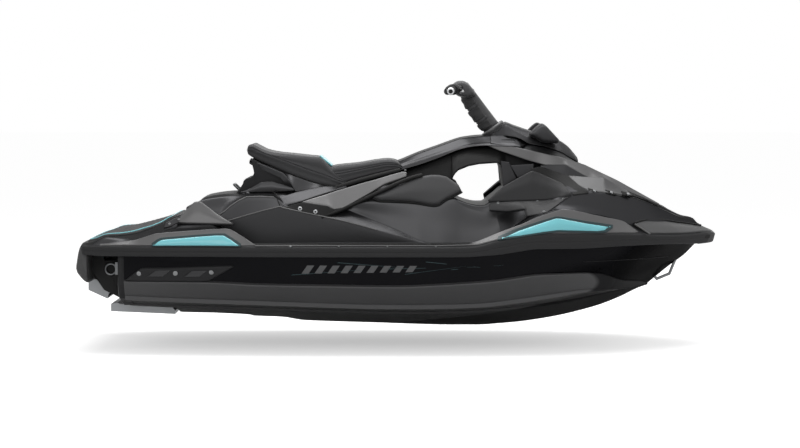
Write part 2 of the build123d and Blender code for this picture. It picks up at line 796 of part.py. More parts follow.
def handlebar():
    middle, bend, end = bar_points()
    side = rod(middle, bend, BAR_RADIUS) + Location(middle) * Sphere(BAR_RADIUS)
    side += Location(bend) * Sphere(BAR_RADIUS)
    cross = rod(middle, (middle[0], -middle[1], middle[2]), BAR_RADIUS)
    bar = side + cross + mirror(side, about=Plane.XZ)
    return biggest(bar - handle_pole())


def bar_pad():
    size = [high - low for low, high in zip(BAR_PAD_LOW, BAR_PAD_HIGH)]
    pad = Location(at_pole_top(*BAR_PAD_LOW)) * Box(*size, align=(Align.MIN, Align.MIN, Align.MIN))
    return biggest(pad - handlebar() - handle_pole())


def grips():
    _, bend, end = bar_points()
    along = (Vector(*end) - Vector(*bend)).normalized()
    start = Vector(*bend) + along * BAR_RADIUS
    return pair(rod(tuple(start), end, GRIP_RADIUS))


def lever():
    foot, start, end = [at_pole_top(x, -y, z) for x, y, z in LEVER_PATH]
    arm = rod(start, end, 6) + Location(start) * Sphere(6) + rod(start, foot, 6)
    return biggest(arm - switch_pod() - handlebar())


def switch_pod():
    middle, bend, _ = bar_points()
    along = (Vector(*bend) - Vector(*middle)).normalized()
    start = Vector(*middle) + along * 95
    end = Vector(*middle) + along * 140
    return rod(tuple(start), tuple(end), 24) - rod(middle, bend, BAR_RADIUS)


def controls():
    return pair(biggest(switch_pod() + lever()))


PARTS = (
    hull, stern_hull, topsides, deck, foredeck, pedestal, front_cowl, bow_cap, rub_rails,
    side_covers, side_inlays, sponsons, deck_chocks, seat_base, side_strips, knee_pads, bridge,
    bridge_cover, dash, visor, hood_blades, vent_panels, foot_guards, mirrors, storage_tub, engine,
    pump_housing, ride_plate, intake_grate, stern_bumper, mooring_eyes, tow_hook, deck_mats,
    pole_collar, seat, seat_bolster, hood, impeller, drive_shaft, trim_ring, steering_nozzle,
    reverse_bucket, boarding_step, handle_pole, handlebar, bar_pad, grips, controls,
)

os.makedirs("parts", exist_ok=True)
for make in PARTS:
    shape = make()
    export_step(shape, f"parts/{make.__name__}.step")
    print(make.__name__, len(shape.solids()), round(shape.volume / 1e6, 3))
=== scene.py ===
import math

import bmesh
import bpy
import numpy as np
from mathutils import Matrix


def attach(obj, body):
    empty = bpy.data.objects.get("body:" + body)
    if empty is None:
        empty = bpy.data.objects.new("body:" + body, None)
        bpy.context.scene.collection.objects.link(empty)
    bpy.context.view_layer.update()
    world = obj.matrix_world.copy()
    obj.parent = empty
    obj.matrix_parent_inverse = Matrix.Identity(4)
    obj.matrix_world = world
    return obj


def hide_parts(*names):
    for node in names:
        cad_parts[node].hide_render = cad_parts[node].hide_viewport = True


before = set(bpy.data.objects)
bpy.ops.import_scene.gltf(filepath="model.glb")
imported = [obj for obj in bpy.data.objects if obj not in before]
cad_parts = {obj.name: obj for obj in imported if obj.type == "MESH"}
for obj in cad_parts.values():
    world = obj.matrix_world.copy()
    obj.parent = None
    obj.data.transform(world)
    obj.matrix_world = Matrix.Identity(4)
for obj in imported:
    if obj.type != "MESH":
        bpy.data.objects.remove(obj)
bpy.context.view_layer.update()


# ---------------------------------------------------------------------------------------------
# Camera, floor and light
# A long lens square to the starboard side, a little above the craft, over a pale seamless floor.
# A wide soft box hangs overhead, with weaker ones on the camera's side and the far side.
scene = bpy.context.scene
scene.view_settings.view_transform = "Standard"

camera_data = bpy.data.cameras.new("side_camera")
camera_data.lens = 101.0
CAMERA_DIP = 3.34
camera = bpy.data.objects.new("side_camera", camera_data)
camera.location = (0.0, -11.2, 0.96)
camera.rotation_euler = (math.radians(90 - CAMERA_DIP), 0.0, 0.0)
scene.collection.objects.link(camera)
scene.camera = camera

FLOOR_LEVEL = -0.285


def soft_box(name, place, turn, wide, deep, watts):
    """Rectangular area lamp at a place, turned by Euler angles in degrees."""
    data = bpy.data.lights.new(name, "AREA")
    data.shape = "RECTANGLE"
    data.size = wide
    data.size_y = deep
    data.energy = watts
    lamp = bpy.data.objects.new(name, data)
    lamp.location = place
    lamp.rotation_euler = [math.radians(v) for v in turn]
    scene.collection.objects.link(lamp)


soft_box("overhead_box", (0.0, 0.35, 3.6), (4, 0, 0), 5.2, 1.7, 128)
soft_box("camera_side_box", (-1.0, -6.5, 3.2), (62, 0, -8), 5.0, 2.0, 56)
soft_box("far_side_box", (1.0, 6.0, 3.0), (-62, 0, 0), 5.0, 2.0, 40)


def math_node(tree, operation, *values):
    """Output of a new math node in a node tree, each input linked from a socket or set to a number."""
    made = tree.nodes.new("ShaderNodeMath")
    made.operation = operation
    for socket, value in zip(made.inputs, values):
        if isinstance(value, bpy.types.NodeSocket):
            tree.links.new(value, socket)
        else:
            socket.default_value = value
    return made.outputs[0]


def colour_mix(tree, share, first, second):
    """Output of a new mix of two colours, each a socket or a triple, by a share from a socket."""
    made = tree.nodes.new("ShaderNodeMix")
    made.data_type = "RGBA"
    tree.links.new(share, made.inputs[0])
    for socket, value in ((made.inputs[6], first), (made.inputs[7], second)):
        if isinstance(value, bpy.types.NodeSocket):
            tree.links.new(value, socket)
        else:
            socket.default_value = (*value, 1)
    return made.outputs[2]


WORLD_FILL = 0.62
FLOOR_GLOW = 0.43
FLOOR_REACH = 60
world = bpy.data.worlds.new("studio")
scene.world = world
world.use_nodes = True
sky = world.node_tree
sky.nodes.clear()
seen = sky.nodes.new("ShaderNodeLightPath")
either = math_node(sky, "MAXIMUM", seen.outputs["Is Camera Ray"], seen.outputs["Is Transmission Ray"])
choice = sky.nodes.new("ShaderNodeMixShader")
sky.links.new(math_node(sky, "MAXIMUM", either, seen.outputs["Is Glossy Ray"]), choice.inputs[0])
for number, strength in ((1, WORLD_FILL), (2, 1.0)):
    ground = sky.nodes.new("ShaderNodeBackground")
    ground.inputs["Color"].default_value = (1, 1, 1, 1)
    ground.inputs["Strength"].default_value = strength
    sky.links.new(ground.outputs[0], choice.inputs[number])
out = sky.nodes.new("ShaderNodeOutputWorld")
sky.links.new(choice.outputs[0], out.inputs[0])

floor_mesh = bpy.data.meshes.new("studio_floor")
corners = ((-1, -1), (1, -1), (1, 1), (-1, 1))
floor_mesh.from_pydata(
    [(x * FLOOR_REACH, y * FLOOR_REACH, FLOOR_LEVEL) for x, y in corners], [], [(0, 1, 2, 3)],
)
floor = bpy.data.objects.new("studio_floor", floor_mesh)
scene.collection.objects.link(floor)
floor_paint = bpy.data.materials.new("studio_floor")
floor_paint.use_nodes = True
tree = floor_paint.node_tree
surface = tree.nodes["Principled BSDF"]
surface.inputs["Roughness"].default_value = 1.0
surface.inputs["Specular IOR Level"].default_value = 0.0
surface.inputs["Emission Color"].default_value = (1, 1, 1, 1)
to_camera = tree.nodes.new("ShaderNodeLightPath").outputs["Is Camera Ray"]
tree.links.new(
    colour_mix(tree, to_camera, (0.80, 0.80, 0.80), (0.90, 0.90, 0.90)), surface.inputs["Base Color"],
)
tree.links.new(math_node(tree, "MULTIPLY", to_camera, FLOOR_GLOW), surface.inputs["Emission Strength"])
floor_mesh.materials.append(floor_paint)


# ---------------------------------------------------------------------------------------------
# Hull
# Moulded in one piece, gloss black above the knuckle and satin grey below it up to a rounded front
# at the bow, with spray strips at the strake and chine. It is open for the intake and the pump.
def smooth(table, at):
    """Values at `at` of curves through a table's rows (x, a, b, ...). Each span is the cubic with the rows'
    values and, at each row, the harmonic mean of its two spans' slopes, or 0 where they differ in sign."""
    table = np.asarray(table, float)
    knots, values = table[:, 0], table[:, 1:]
    step = np.diff(knots)[:, None]
    rise = np.diff(values, axis=0) / step
    same = rise[:-1] * rise[1:] > 0
    mean = 2 * rise[:-1] * rise[1:] / np.where(same, rise[:-1] + rise[1:], 1)
    slope = np.vstack([rise[:1], np.where(same, mean, 0), rise[-1:]])
    k = np.clip(np.searchsorted(knots, at) - 1, 0, len(step) - 1)
    t = np.clip((np.asarray(at, float) - knots[k]) / step[k, 0], 0, 1)[:, None]
    low, high = values[k], values[k + 1]
    blend = t * t * (3 - 2 * t)
    bend = step[k] * (t * (1 - t) ** 2 * slope[k] - t * t * (1 - t) * slope[k + 1])
    return low + (high - low) * blend + bend


def line(table, at):
    """Points (x, y, height) along a long line at the stations x = at, from its rows (x, y, height)."""
    return np.column_stack([at, smooth(table, at)])


def rounded(lines, radii, counts, swell=None, closed=False):
    """Surface across long lines of equally many points. Each section is the polygon of its lines' points:
    corner i is cut back by radii[i] both ways and filled with the quadratic Bezier of the cuts and the
    corner, and span i stands out by swell[i] * sin(pi t)^2. A closed surface also spans last to first."""
    p = np.stack(lines)
    n = len(p)
    spans = n if closed else n - 1
    nxt = np.roll(p, -1, axis=0)
    reach = nxt - p
    size = np.maximum(np.linalg.norm(reach, axis=2, keepdims=True), 1e-6)
    way = reach / size
    back_size = np.roll(size, 1, axis=0)
    cut = np.minimum(np.asarray(radii, float)[:, None, None], 0.42 * np.minimum(size, back_size))
    if not closed:
        cut[0] = 0
        cut[-1] = 0
    columns = []
    for i in range(spans):
        j = (i + 1) % n
        start = p[i] + way[i] * cut[i]
        end = p[j] - way[i] * cut[j]
        run = np.cross(np.gradient(start, axis=0), way[i])
        run /= np.maximum(np.linalg.norm(run, axis=1, keepdims=True), 1e-9)
        for t in np.linspace(0, 1, counts[i] + 1):
            out = 0 if swell is None else swell[i] * math.sin(math.pi * t) ** 2
            columns.append(start + (end - start) * t + run * out)
        if closed or i < spans - 1:
            turn = p[j] + way[j] * cut[j]
            for s in (0.25, 0.5, 0.75):
                columns.append((1 - s) ** 2 * end + 2 * s * (1 - s) * p[j] + s * s * turn)
    return np.stack(columns, axis=1)


def grid(points, ring=False, loop=False, caps=False):
    """Vertices and quads of a grid of points. A ring joins the last column to the first, a loop the last row
    to the first, and caps close each end of a ring with quads from side to side."""
    rows, cols = points.shape[:2]
    index = np.arange(rows * cols).reshape(rows, cols)
    if ring:
        index = np.hstack([index, index[:, :1]])
    if loop:
        index = np.vstack([index, index[:1]])
    quads = np.stack([index[:-1, :-1], index[1:, :-1], index[1:, 1:], index[:-1, 1:]], -1).reshape(-1, 4)
    if caps:
        i = np.arange(cols // 2 - 1)
        lid = np.stack([i, i + 1, cols - 2 - i, cols - 1 - i], -1)
        quads = np.vstack([quads, lid, lid + (rows - 1) * cols])
    return points.reshape(-1, 3), quads


def facing(points):
    """Unit normals of a grid: the cross product of its slopes along the rows and along the columns."""
    normal = np.cross(np.gradient(points, axis=0), np.gradient(points, axis=1))
    return normal / np.maximum(np.linalg.norm(normal, axis=2, keepdims=True), 1e-9)


def closed_shell(outer, inner):
    """Closed part between two grids of the same size, joined all round their edges."""
    rows, cols = outer.shape[:2]
    index = np.arange(rows * cols).reshape(rows, cols)
    edge = np.concatenate([index[0], index[1:, -1], index[-1, -2::-1], index[-2:0:-1, 0]])
    face = np.stack([index[:-1, :-1], index[1:, :-1], index[1:, 1:], index[:-1, 1:]], -1).reshape(-1, 4)
    under = face[:, ::-1] + rows * cols
    following = np.roll(edge, -1)
    rim = np.stack([edge, following, following + rows * cols, edge + rows * cols], -1)
    return np.vstack([outer.reshape(-1, 3), inner.reshape(-1, 3)]), np.vstack([face, under, rim])


def skin(points, thick):
    """Closed moulding `thick` deep on the low side of a grid's normals (the high side if negative)."""
    return closed_shell(points, points - facing(points) * thick)


def mirrored(part):
    """The same part on the other side of the centre plane."""
    vertices, quads = part
    return vertices * (1, -1, 1), quads[:, ::-1]


def pair(part):
    """A part and the same part on the other side."""
    return [part, mirrored(part)]


def full_width(half):
    """Grid across both sides from a half whose first column lies on the centre plane."""
    return np.concatenate([half[:, :0:-1] * (1, -1, 1), half], axis=1)


KEEL_DEPTH = 200


def piece(name, parts, body, material, sharp=30):
    """One mesh object from parts in millimetres, with heights counted up from the keel's low point, which
    lies KEEL_DEPTH below the frame's origin. Its faces are turned outward and it rides on a CAD body."""
    vertices, quads, start = [], [], 0
    for points, faces in parts:
        vertices.append((points - (0, 0, KEEL_DEPTH)) / 1000)
        quads.append(faces + start)
        start += len(points)
    mesh = bpy.data.meshes.new(name)
    mesh.from_pydata(np.vstack(vertices).tolist(), [], np.vstack(quads).tolist())
    work = bmesh.new()
    work.from_mesh(mesh)
    bmesh.ops.remove_doubles(work, verts=work.verts, dist=2e-6)
    bmesh.ops.dissolve_degenerate(work, edges=work.edges, dist=1e-7)
    bmesh.ops.recalc_face_normals(work, faces=work.faces)
    work.to_mesh(mesh)
    work.free()
    mesh.shade_smooth()
    mesh.set_sharp_from_angle(angle=math.radians(sharp))
    mesh.materials.append(material)
    made = bpy.data.objects.new(name, mesh)
    scene.collection.objects.link(made)
    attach(made, body)
    return made


def surface_grain():
    """Node group of what every moulded, painted or cast face here has: a broad mottle from two octaves of
    noise and a fine grain from a third, both in object coordinates."""
    group = bpy.data.node_groups.new("surface grain", "ShaderNodeTree")
    for label, value in (("Mottle Scale", 6.0), ("Grain Scale", 900.0)):
        socket = group.interface.new_socket(name=label, in_out="INPUT", socket_type="NodeSocketFloat")
        socket.default_value = value
    for label in ("Mottle", "Grain"):
        group.interface.new_socket(name=label, in_out="OUTPUT", socket_type="NodeSocketFloat")
    new, link = group.nodes.new, group.links.new
    source, sink = new("NodeGroupInput"), new("NodeGroupOutput")
    place = new("ShaderNodeTexCoord")
    for label, detail in (("Mottle", 3.0), ("Grain", 1.0)):
        noise = new("ShaderNodeTexNoise")
        noise.inputs["Detail"].default_value = detail
        link(place.outputs["Object"], noise.inputs["Vector"])
        link(source.outputs[label + " Scale"], noise.inputs["Scale"])
        link(noise.outputs["Fac"], sink.inputs[label])
    return group


GRAIN = surface_grain()


def finish(
    name, colour, second, rough, rough_to, metal=0.0, coat=0.0, level=0.5, mottle=6.0, grain=900.0,
    depth=0.0004, strength=0.3, coat_rough=0.05, edge=1.0,
):
    """Material whose colour goes from one to a second and roughness from one to another with the mottle, and
    whose grain stands up by `depth` metres. `edge` dims what it mirrors at a glancing angle."""
    made = bpy.data.materials.new(name)
    made.use_nodes = True
    tree = made.node_tree
    new, link = tree.nodes.new, tree.links.new
    shader = tree.nodes["Principled BSDF"]
    texture = new("ShaderNodeGroup")
    texture.node_tree = GRAIN
    texture.inputs["Mottle Scale"].default_value = mottle
    texture.inputs["Grain Scale"].default_value = grain
    link(colour_mix(tree, texture.outputs["Mottle"], colour, second), shader.inputs["Base Color"])
    matt = new("ShaderNodeMapRange")
    for label, value in (("From Min", 0.3), ("From Max", 0.7), ("To Min", rough), ("To Max", rough_to)):
        matt.inputs[label].default_value = value
    link(texture.outputs["Mottle"], matt.inputs["Value"])
    link(matt.outputs[0], shader.inputs["Roughness"])
    bump = new("ShaderNodeBump")
    bump.inputs["Strength"].default_value = strength
    bump.inputs["Distance"].default_value = depth
    link(texture.outputs["Grain"], bump.inputs["Height"])
    link(bump.outputs[0], shader.inputs["Normal"])
    for label, value in (
        ("Metallic", metal), ("Coat Weight", coat), ("Coat Roughness", coat_rough),
        ("Specular IOR Level", level), ("Specular Tint", (edge, edge, edge, 1)),
    ):
        shader.inputs[label].default_value = value
    return made


gloss_black = finish(
    "gloss_black_gelcoat", (0.008, 0.008, 0.009), (0.011, 0.011, 0.012), 0.16, 0.24, metal=0.7, level=0.05,
    edge=0.1, mottle=2.5, grain=260.0, depth=0.0001, strength=0.08,
)
hull_grey = finish(
    "satin_grey_gelcoat", (0.080, 0.080, 0.082), (0.090, 0.090, 0.092), 0.36, 0.46, metal=0.5, level=0.3,
    edge=0.2, mottle=3.0, grain=700.0, depth=0.0002, strength=0.15,
)


BOW_BLACK, BOW_FADE = (0.016, 0.016, 0.017), 0.014


def black_bow(material, tip, level, curve):
    """Colour the material black ahead of a rounded front at x = tip - curve (z - level)^2, in metres."""
    tree = material.node_tree
    new, link = tree.nodes.new, tree.links.new
    base = tree.nodes["Principled BSDF"].inputs["Base Color"]
    grey = base.links[0].from_socket
    axes = new("ShaderNodeSeparateXYZ")
    link(new("ShaderNodeTexCoord").outputs["Object"], axes.inputs[0])
    away = math_node(tree, "SUBTRACT", axes.outputs["Z"], level)
    square = math_node(tree, "MULTIPLY", away, away)
    ahead = new("ShaderNodeMapRange")
    ahead.inputs["From Min"].default_value = tip - BOW_FADE
    ahead.inputs["From Max"].default_value = tip + BOW_FADE
    link(math_node(tree, "MULTIPLY_ADD", square, curve, axes.outputs["X"]), ahead.inputs["Value"])
    link(colour_mix(tree, ahead.outputs[0], grey, BOW_BLACK), base)


black_bow(hull_grey, 0.958, 0.045, 19.0)
black_plastic = finish(
    "grained_black_plastic", (0.012, 0.012, 0.013), (0.019, 0.019, 0.020), 0.50, 0.62, level=0.2,
    mottle=9.0, grain=1500.0, depth=0.0005, strength=0.5,
)

HULL_STERN = -1322
SIDE_RUN = np.concatenate([
    [HULL_STERN, HULL_STERN + 3], np.linspace(-1290, -1110, 7), [-1100, -1096, -1092, -1080],
    np.linspace(-1050, -780, 8), [-762, -750, -735, -720], np.linspace(-680, 900, 44),
])
STEM_RUN = np.linspace(0, 1, 26)[1:]


def hull_line(table):
    """Long line with its stations level with the others' back from 900, and fanned out ahead of it so that
    all of them reach the stem together."""
    end = table[-1][0]
    return line(table, np.concatenate([SIDE_RUN, 900 + (end - 900) * STEM_RUN]))


KEEL = (
    (-1350, 185, 122), (-1100, 185, 106), (-1092, 84, 74), (-762, 84, 66), (-735, 0.2, 47), (-588, 0.2, 41),
    (-487, 0.2, 25), (-315, 0.2, 18), (-113, 0.2, 12), (88, 0.2, 5), (240, 0.2, 1.5), (391, 0.2, 1.5),
    (492, 0.2, 8), (593, 0.2, 17), (694, 0.2, 31), (795, 0.2, 49), (896, 0.2, 73), (997, 0.2, 102),
    (1098, 0.2, 142), (1198, 0.2, 190), (1239, 0.2, 204),
)
STRAKE = (
    (-1350, 258, 126), (-1096, 258, 114), (-899, 258, 109), (-604, 258, 99), (-308, 258, 89),
    (-12, 258, 82), (185, 258, 83), (382, 256, 90), (530, 248, 101), (668, 224, 115), (800, 186, 130),
    (900, 146, 146), (1000, 102, 165), (1100, 56, 182), (1198, 14, 200), (1239, 0.2, 206),
)
CHINE = (
    (-1350, 448, 188), (-1077, 457, 176), (-690, 462, 163), (-399, 467, 153), (-109, 470, 145),
    (85, 470, 144), (182, 468, 145), (375, 460, 150), (569, 442, 170), (763, 410, 195), (860, 380, 206),
    (918, 356, 209), (1000, 300, 208), (1100, 190, 205), (1190, 70, 206), (1239, 0.2, 208),
)
KNUCKLE_LOW = (
    (-1350, 496, 258), (-927, 528, 256), (-686, 540, 245), (-301, 550, 239), (-12, 554, 236),
    (181, 554, 244), (373, 549, 256), (470, 541, 264), (566, 529, 277), (662, 509, 289), (768, 476, 290),
    (865, 430, 291), (963, 366, 286), (1012, 330, 272), (1086, 238, 243), (1186, 88, 227), (1239, 0.2, 210),
)
KNUCKLE_HIGH = (
    (-1350, 478, 265), (-927, 509, 263), (-686, 521, 252), (-301, 531, 246), (-12, 535, 243),
    (181, 535, 251), (373, 530, 263), (470, 522, 271), (566, 512, 284), (662, 494, 295), (768, 464, 296),
    (865, 420, 296), (963, 358, 290), (1012, 322, 276), (1086, 232, 247), (1186, 84, 231), (1239, 0.2, 212),
)
SIDE_LOW = (
    (-1350, 480, 302), (-1000, 512, 298), (-600, 528, 292), (0, 541, 286), (300, 540, 296), (470, 530, 312),
    (662, 508, 332), (768, 486, 334), (865, 450, 335), (963, 400, 334), (1050, 336, 328), (1130, 252, 316),
    (1200, 168, 308), (1290, 66, 300), (1346, 0.2, 300),
)
SIDE_HIGH = (
    (-1350, 483, 345), (-1000, 516, 341), (-600, 534, 338), (0, 546, 333), (300, 545, 340), (470, 536, 354),
    (662, 516, 374), (768, 498, 375), (865, 468, 376), (963, 426, 376), (1050, 374, 374), (1130, 312, 370),
    (1200, 248, 366), (1300, 136, 358), (1380, 44, 352), (1420, 0.2, 352),
)
RAIL_FOOT = (
    (-1350, 482, 392), (-1200, 498, 392), (-1000, 514, 392), (-600, 540, 392), (0, 551, 392),
    (300, 551, 392), (467, 544, 402), (659, 524, 426), (800, 494, 428), (900, 464, 428), (1000, 424, 430),
    (1100, 384, 432), (1200, 322, 432), (1300, 242, 430), (1400, 128, 424), (1450, 56, 416),
    (1477, 0.2, 412),
)


def eased(table, across, up):
    """Copy of a long line's rows moved in or out and up or down, fading to nothing over its last fifth."""
    rows = np.asarray(table, float).copy()
    span = rows[-1, 0] - rows[0, 0]
    fade = np.clip((rows[-1, 0] - rows[:, 0]) / (0.2 * span), 0, 1)
    rows[:, 1] = np.maximum(rows[:, 1] + across * fade, 0.2)
    rows[:, 2] += up * fade
    return rows


bottom_tables = (
    KEEL, eased(STRAKE, -6, -3), eased(STRAKE, 0, 9), eased(CHINE, -26, -16), eased(CHINE, -2, -22), CHINE,
    eased(CHINE, 10, 8), eased(KNUCKLE_LOW, -3, -6), KNUCKLE_LOW, eased(KNUCKLE_HIGH, -4, 4),
)
bottom_lines = [hull_line(t) for t in bottom_tables]
bottom = skin(rounded(bottom_lines, [0, 3, 4, 4, 3, 3, 8, 5, 4, 0], [6, 1, 7, 2, 2, 1, 8, 1, 2]), -5)
hull_bottom = piece("hull_bottom", pair(bottom), "hull", hull_grey)
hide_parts("hull")

topside_lines = [hull_line(t) for t in (KNUCKLE_HIGH, SIDE_LOW, SIDE_HIGH, RAIL_FOOT)]
side = skin(rounded(topside_lines, [0, 30, 30, 0], [3, 4, 4]), -5)
hull_side = piece("hull_side", pair(side), "hull", gloss_black)
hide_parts("stern_hull", "topsides")

TUNNEL_ARCH = ((185, 118), (185, 210), (185, 290), (172, 325), (140, 345), (70, 350), (0, 350))


def spread(table, count):
    """Points at equal steps of length along an open polyline."""
    table = np.asarray(table, float)
    far = np.concatenate([[0], np.cumsum(np.linalg.norm(np.diff(table, axis=0), axis=1))])
    return np.column_stack([np.interp(np.linspace(0, far[-1], count), far, c) for c in table.T])


arch = spread(TUNNEL_ARCH, 24)
round_edge = spread(
    (
        (185, 122), (250, 124), (440, 176), (452, 190), (484, 256), (466, 268), (470, 345), (470, 392),
        (0, 392),
    ),
    24,
)
transom_x = np.array([-1300, -1340, -1352, -1358])
shrink = np.array([1.0, 1.0, 0.985, 0.93])
middle = np.array([0, 260])
transom_rows = [
    np.column_stack([np.full(24, x), (round_edge - middle) * s + middle]) for x, s in zip(transom_x, shrink)
]
transom_rows += [
    np.column_stack([
        np.full(24, -1358.0), (round_edge * 0.93 + middle * 0.07) * (1 - s) + arch * s,
    ]) for s in (0.35, 0.7, 1.0)
]
for x, rows in ((-1300.0, arch), (-1094.0, arch), (-1094.0, arch * (0.55, 0.62) + (0, 90))):
    transom_rows.append(np.column_stack([np.full(24, x), rows]))
transom = skin(np.stack(transom_rows), 3)
transom_panel = piece("transom", pair(transom), "hull", black_plastic)

duct_x = np.array([-1094.0, -1020, -940, -860, -790, -745])
duct_roof = np.interp(duct_x, [-1094, -1000, -900, -800, -745], [330, 215, 155, 98, 66])
duct_foot = np.interp(duct_x, [-1094, -745], [78, 62])
duct_lines = [
    np.column_stack([duct_x, np.full(6, 84.0), duct_foot]),
    np.column_stack([duct_x, np.full(6, 84.0), np.maximum(duct_roof - 40, duct_foot + 1)]),
    np.column_stack([duct_x, np.full(6, 50.0), duct_roof]),
    np.column_stack([duct_x, np.full(6, 0.2), duct_roof + 6]),
]
duct = skin(rounded(duct_lines, [0, 25, 25, 0], [2, 2, 2]), 4)
duct_liner = piece("intake_duct", pair(duct), "hull", black_plastic)


# ---------------------------------------------------------------------------------------------
# Rub rails
# A rubber-faced bumper band pressed over the joint of hull and deck, from the stern round to the
# bow cap, with a shallow groove along its middle.
rail_rubber = finish(
    "rail_rubber", (0.022, 0.022, 0.023), (0.029, 0.029, 0.030), 0.44, 0.54, level=0.15, mottle=4.0,
    grain=1100.0, depth=0.0003, strength=0.35,
)

RAIL = (
    (-1530, 424, 384, 424), (-1440, 468, 379, 427), (-1300, 497, 379, 427), (-1000, 528, 379, 427),
    (-600, 555, 379, 427), (-200, 564, 379, 427), (200, 564, 379, 427), (324, 562, 380, 428),
    (372, 560, 383, 432), (467, 556, 390, 457), (563, 547, 404, 475), (659, 535, 416, 486),
    (764, 517, 416, 486), (861, 489, 415, 484), (958, 456, 418, 483), (1055, 418, 422, 482),
    (1104, 396, 423, 481), (1227, 327, 424, 470), (1375, 221, 421, 464), (1445, 158, 417, 466),
    (1510, 96, 417, 468), (1540, 62, 420, 467),
)
rail_at = np.concatenate([np.linspace(-1530, 250, 40), np.linspace(290, 1540, 60)])
rail_shape = smooth(RAIL, rail_at)


def rail_line(inset, share, lift=0.0):
    """Long line on the rail: its half breadth less an inset, at a share of the way up it."""
    low, high = rail_shape[:, 1], rail_shape[:, 2]
    return np.column_stack([
        rail_at, np.maximum(rail_shape[:, 0] - inset, 2), low + (high - low) * share + lift,
    ])


inward = np.interp(rail_at, [1250, 1420], [26, 220])
rail_ring = rounded(
    [
        rail_line(inward, 0, 4), rail_line(3, 0), rail_line(0, 0.16), rail_line(0, 0.44),
        rail_line(2.5, 0.50), rail_line(0, 0.56), rail_line(0, 0.84), rail_line(4, 1),
        rail_line(inward, 1, -4),
    ],
    [2, 4, 4, 2, 1.5, 2, 4, 4, 2], [2, 1, 1, 1, 1, 1, 1, 2, 2], closed=True,
)
rail = grid(rail_ring, ring=True, caps=True)
rails = piece("rub_rails", pair(rail), "hull", rail_rubber)
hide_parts("rub_rails")


# ---------------------------------------------------------------------------------------------
# Deck
# One moulding from rail to rail in satin charcoal: narrow gunwales, a deep footwell each side of
# the pedestal, a rising stern deck and the flanks under the bow covers.
body_paint = finish(
    "charcoal_metal_flake", (0.051, 0.051, 0.053), (0.058, 0.058, 0.060), 0.29, 0.35, metal=0.85, coat=0.02,
    level=0.2, mottle=2.2, grain=2200.0, depth=0.0002, strength=0.22, coat_rough=0.12, edge=0.15,
)

GUNWALE = (
    (-1560, 395, 426), (-1440, 456, 431), (-1300, 486, 431), (-1000, 516, 431), (-600, 543, 432),
    (-200, 552, 432), (200, 552, 432), (324, 550, 433), (372, 548, 436), (467, 543, 461), (563, 534, 479),
    (659, 522, 490), (764, 504, 489), (861, 477, 488), (958, 444, 487), (1055, 406, 486), (1104, 385, 485),
    (1227, 316, 474), (1375, 209, 468), (1445, 146, 470), (1510, 84, 472), (1560, 30, 466),
)
COVER_TOP = (
    (-1560, 380, 428), (-1447, 442, 430), (-1408, 446, 434), (-1264, 468, 457), (-1168, 476, 491),
    (-1071, 482, 498), (-975, 488, 505), (-831, 499, 515), (-811, 501, 513), (-686, 527, 438),
    (-620, 528, 434), (250, 529, 434), (317, 526, 436), (375, 521, 453), (471, 507, 493), (568, 492, 532),
    (665, 476, 576), (752, 462, 604), (781, 457, 604), (869, 436, 590), (967, 402, 573), (1065, 356, 543),
    (1104, 336, 529), (1150, 308, 512), (1240, 250, 496), (1340, 178, 486), (1440, 104, 480),
    (1515, 50, 474), (1560, 16, 468),
)
DECK_EDGE = (
    (-1560, 330, 430), (-1476, 388, 448), (-1418, 424, 468), (-1340, 430, 464), (-1224, 432, 464),
    (-1156, 436, 484), (-1127, 436, 496), (-1078, 436, 506), (-1000, 436, 512), (-910, 440, 514),
    (-862, 452, 490), (-790, 482, 326), (-770, 486, 302), (-700, 486, 300), (300, 486, 300),
    (345, 484, 312), (440, 474, 392), (500, 462, 470), (560, 450, 500), (700, 430, 560), (1000, 360, 520),
    (1300, 180, 480), (1560, 8, 466),
)
WELL_FOOT = (
    (-1560, 190, 431), (-1476, 300, 452), (-1418, 330, 472), (-1340, 330, 480), (-1224, 330, 502),
    (-1156, 330, 527), (-1127, 330, 546), (-1078, 330, 566), (-1000, 330, 580), (-910, 330, 566),
    (-862, 330, 510), (-790, 325, 324), (-770, 322, 302), (-700, 320, 300), (300, 320, 300),
    (345, 322, 312), (440, 330, 392), (500, 340, 470), (560, 340, 490), (700, 330, 540), (1000, 280, 500),
    (1300, 120, 470), (1560, 6, 464),
)
DECK_MIDDLE = (
    (-1560, 0, 428), (-1476, 0, 454), (-1324, 0, 494), (-1223, 0, 520), (-1122, 0, 550), (-1082, 0, 570),
    (-1037, 0, 596), (-1000, 0, 600), (-910, 0, 590), (-862, 0, 512), (-790, 0, 326), (-770, 0, 302),
    (-700, 0, 300), (300, 0, 300), (345, 0, 312), (440, 0, 392), (500, 0, 470), (560, 0, 480),
    (700, 0, 520), (1000, 0, 480), (1300, 0, 450), (1560, 0, 440),
)
deck_at = np.concatenate([
    np.linspace(-1538, -1240, 20), np.linspace(-1225, -1060, 14), np.linspace(-1045, -930, 6),
    np.linspace(-915, -760, 22), np.linspace(-740, 250, 40), np.linspace(270, 620, 30),
    np.linspace(640, 1556, 50),
])


def under(table, drop, inset):
    """Copy of a table's rows, lowered and moved in, for an edge that another piece covers."""
    rows = np.asarray(table, float).copy()
    rows[:, 1] = np.maximum(rows[:, 1] - inset, 0.5)
    rows[:, 2] -= drop
    return rows


deck_tables = (DECK_MIDDLE, WELL_FOOT, DECK_EDGE, COVER_TOP, GUNWALE, under(GUNWALE, 26, 2))
deck_lines = [line(t, deck_at) for t in deck_tables]
deck_half = rounded(deck_lines, [0, 24, 26, 9, 6, 0], [8, 8, 8, 8, 2])
deck = piece("deck", [skin(full_width(deck_half), 5)], "hull", body_paint, sharp=36)
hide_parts("deck", "foredeck")


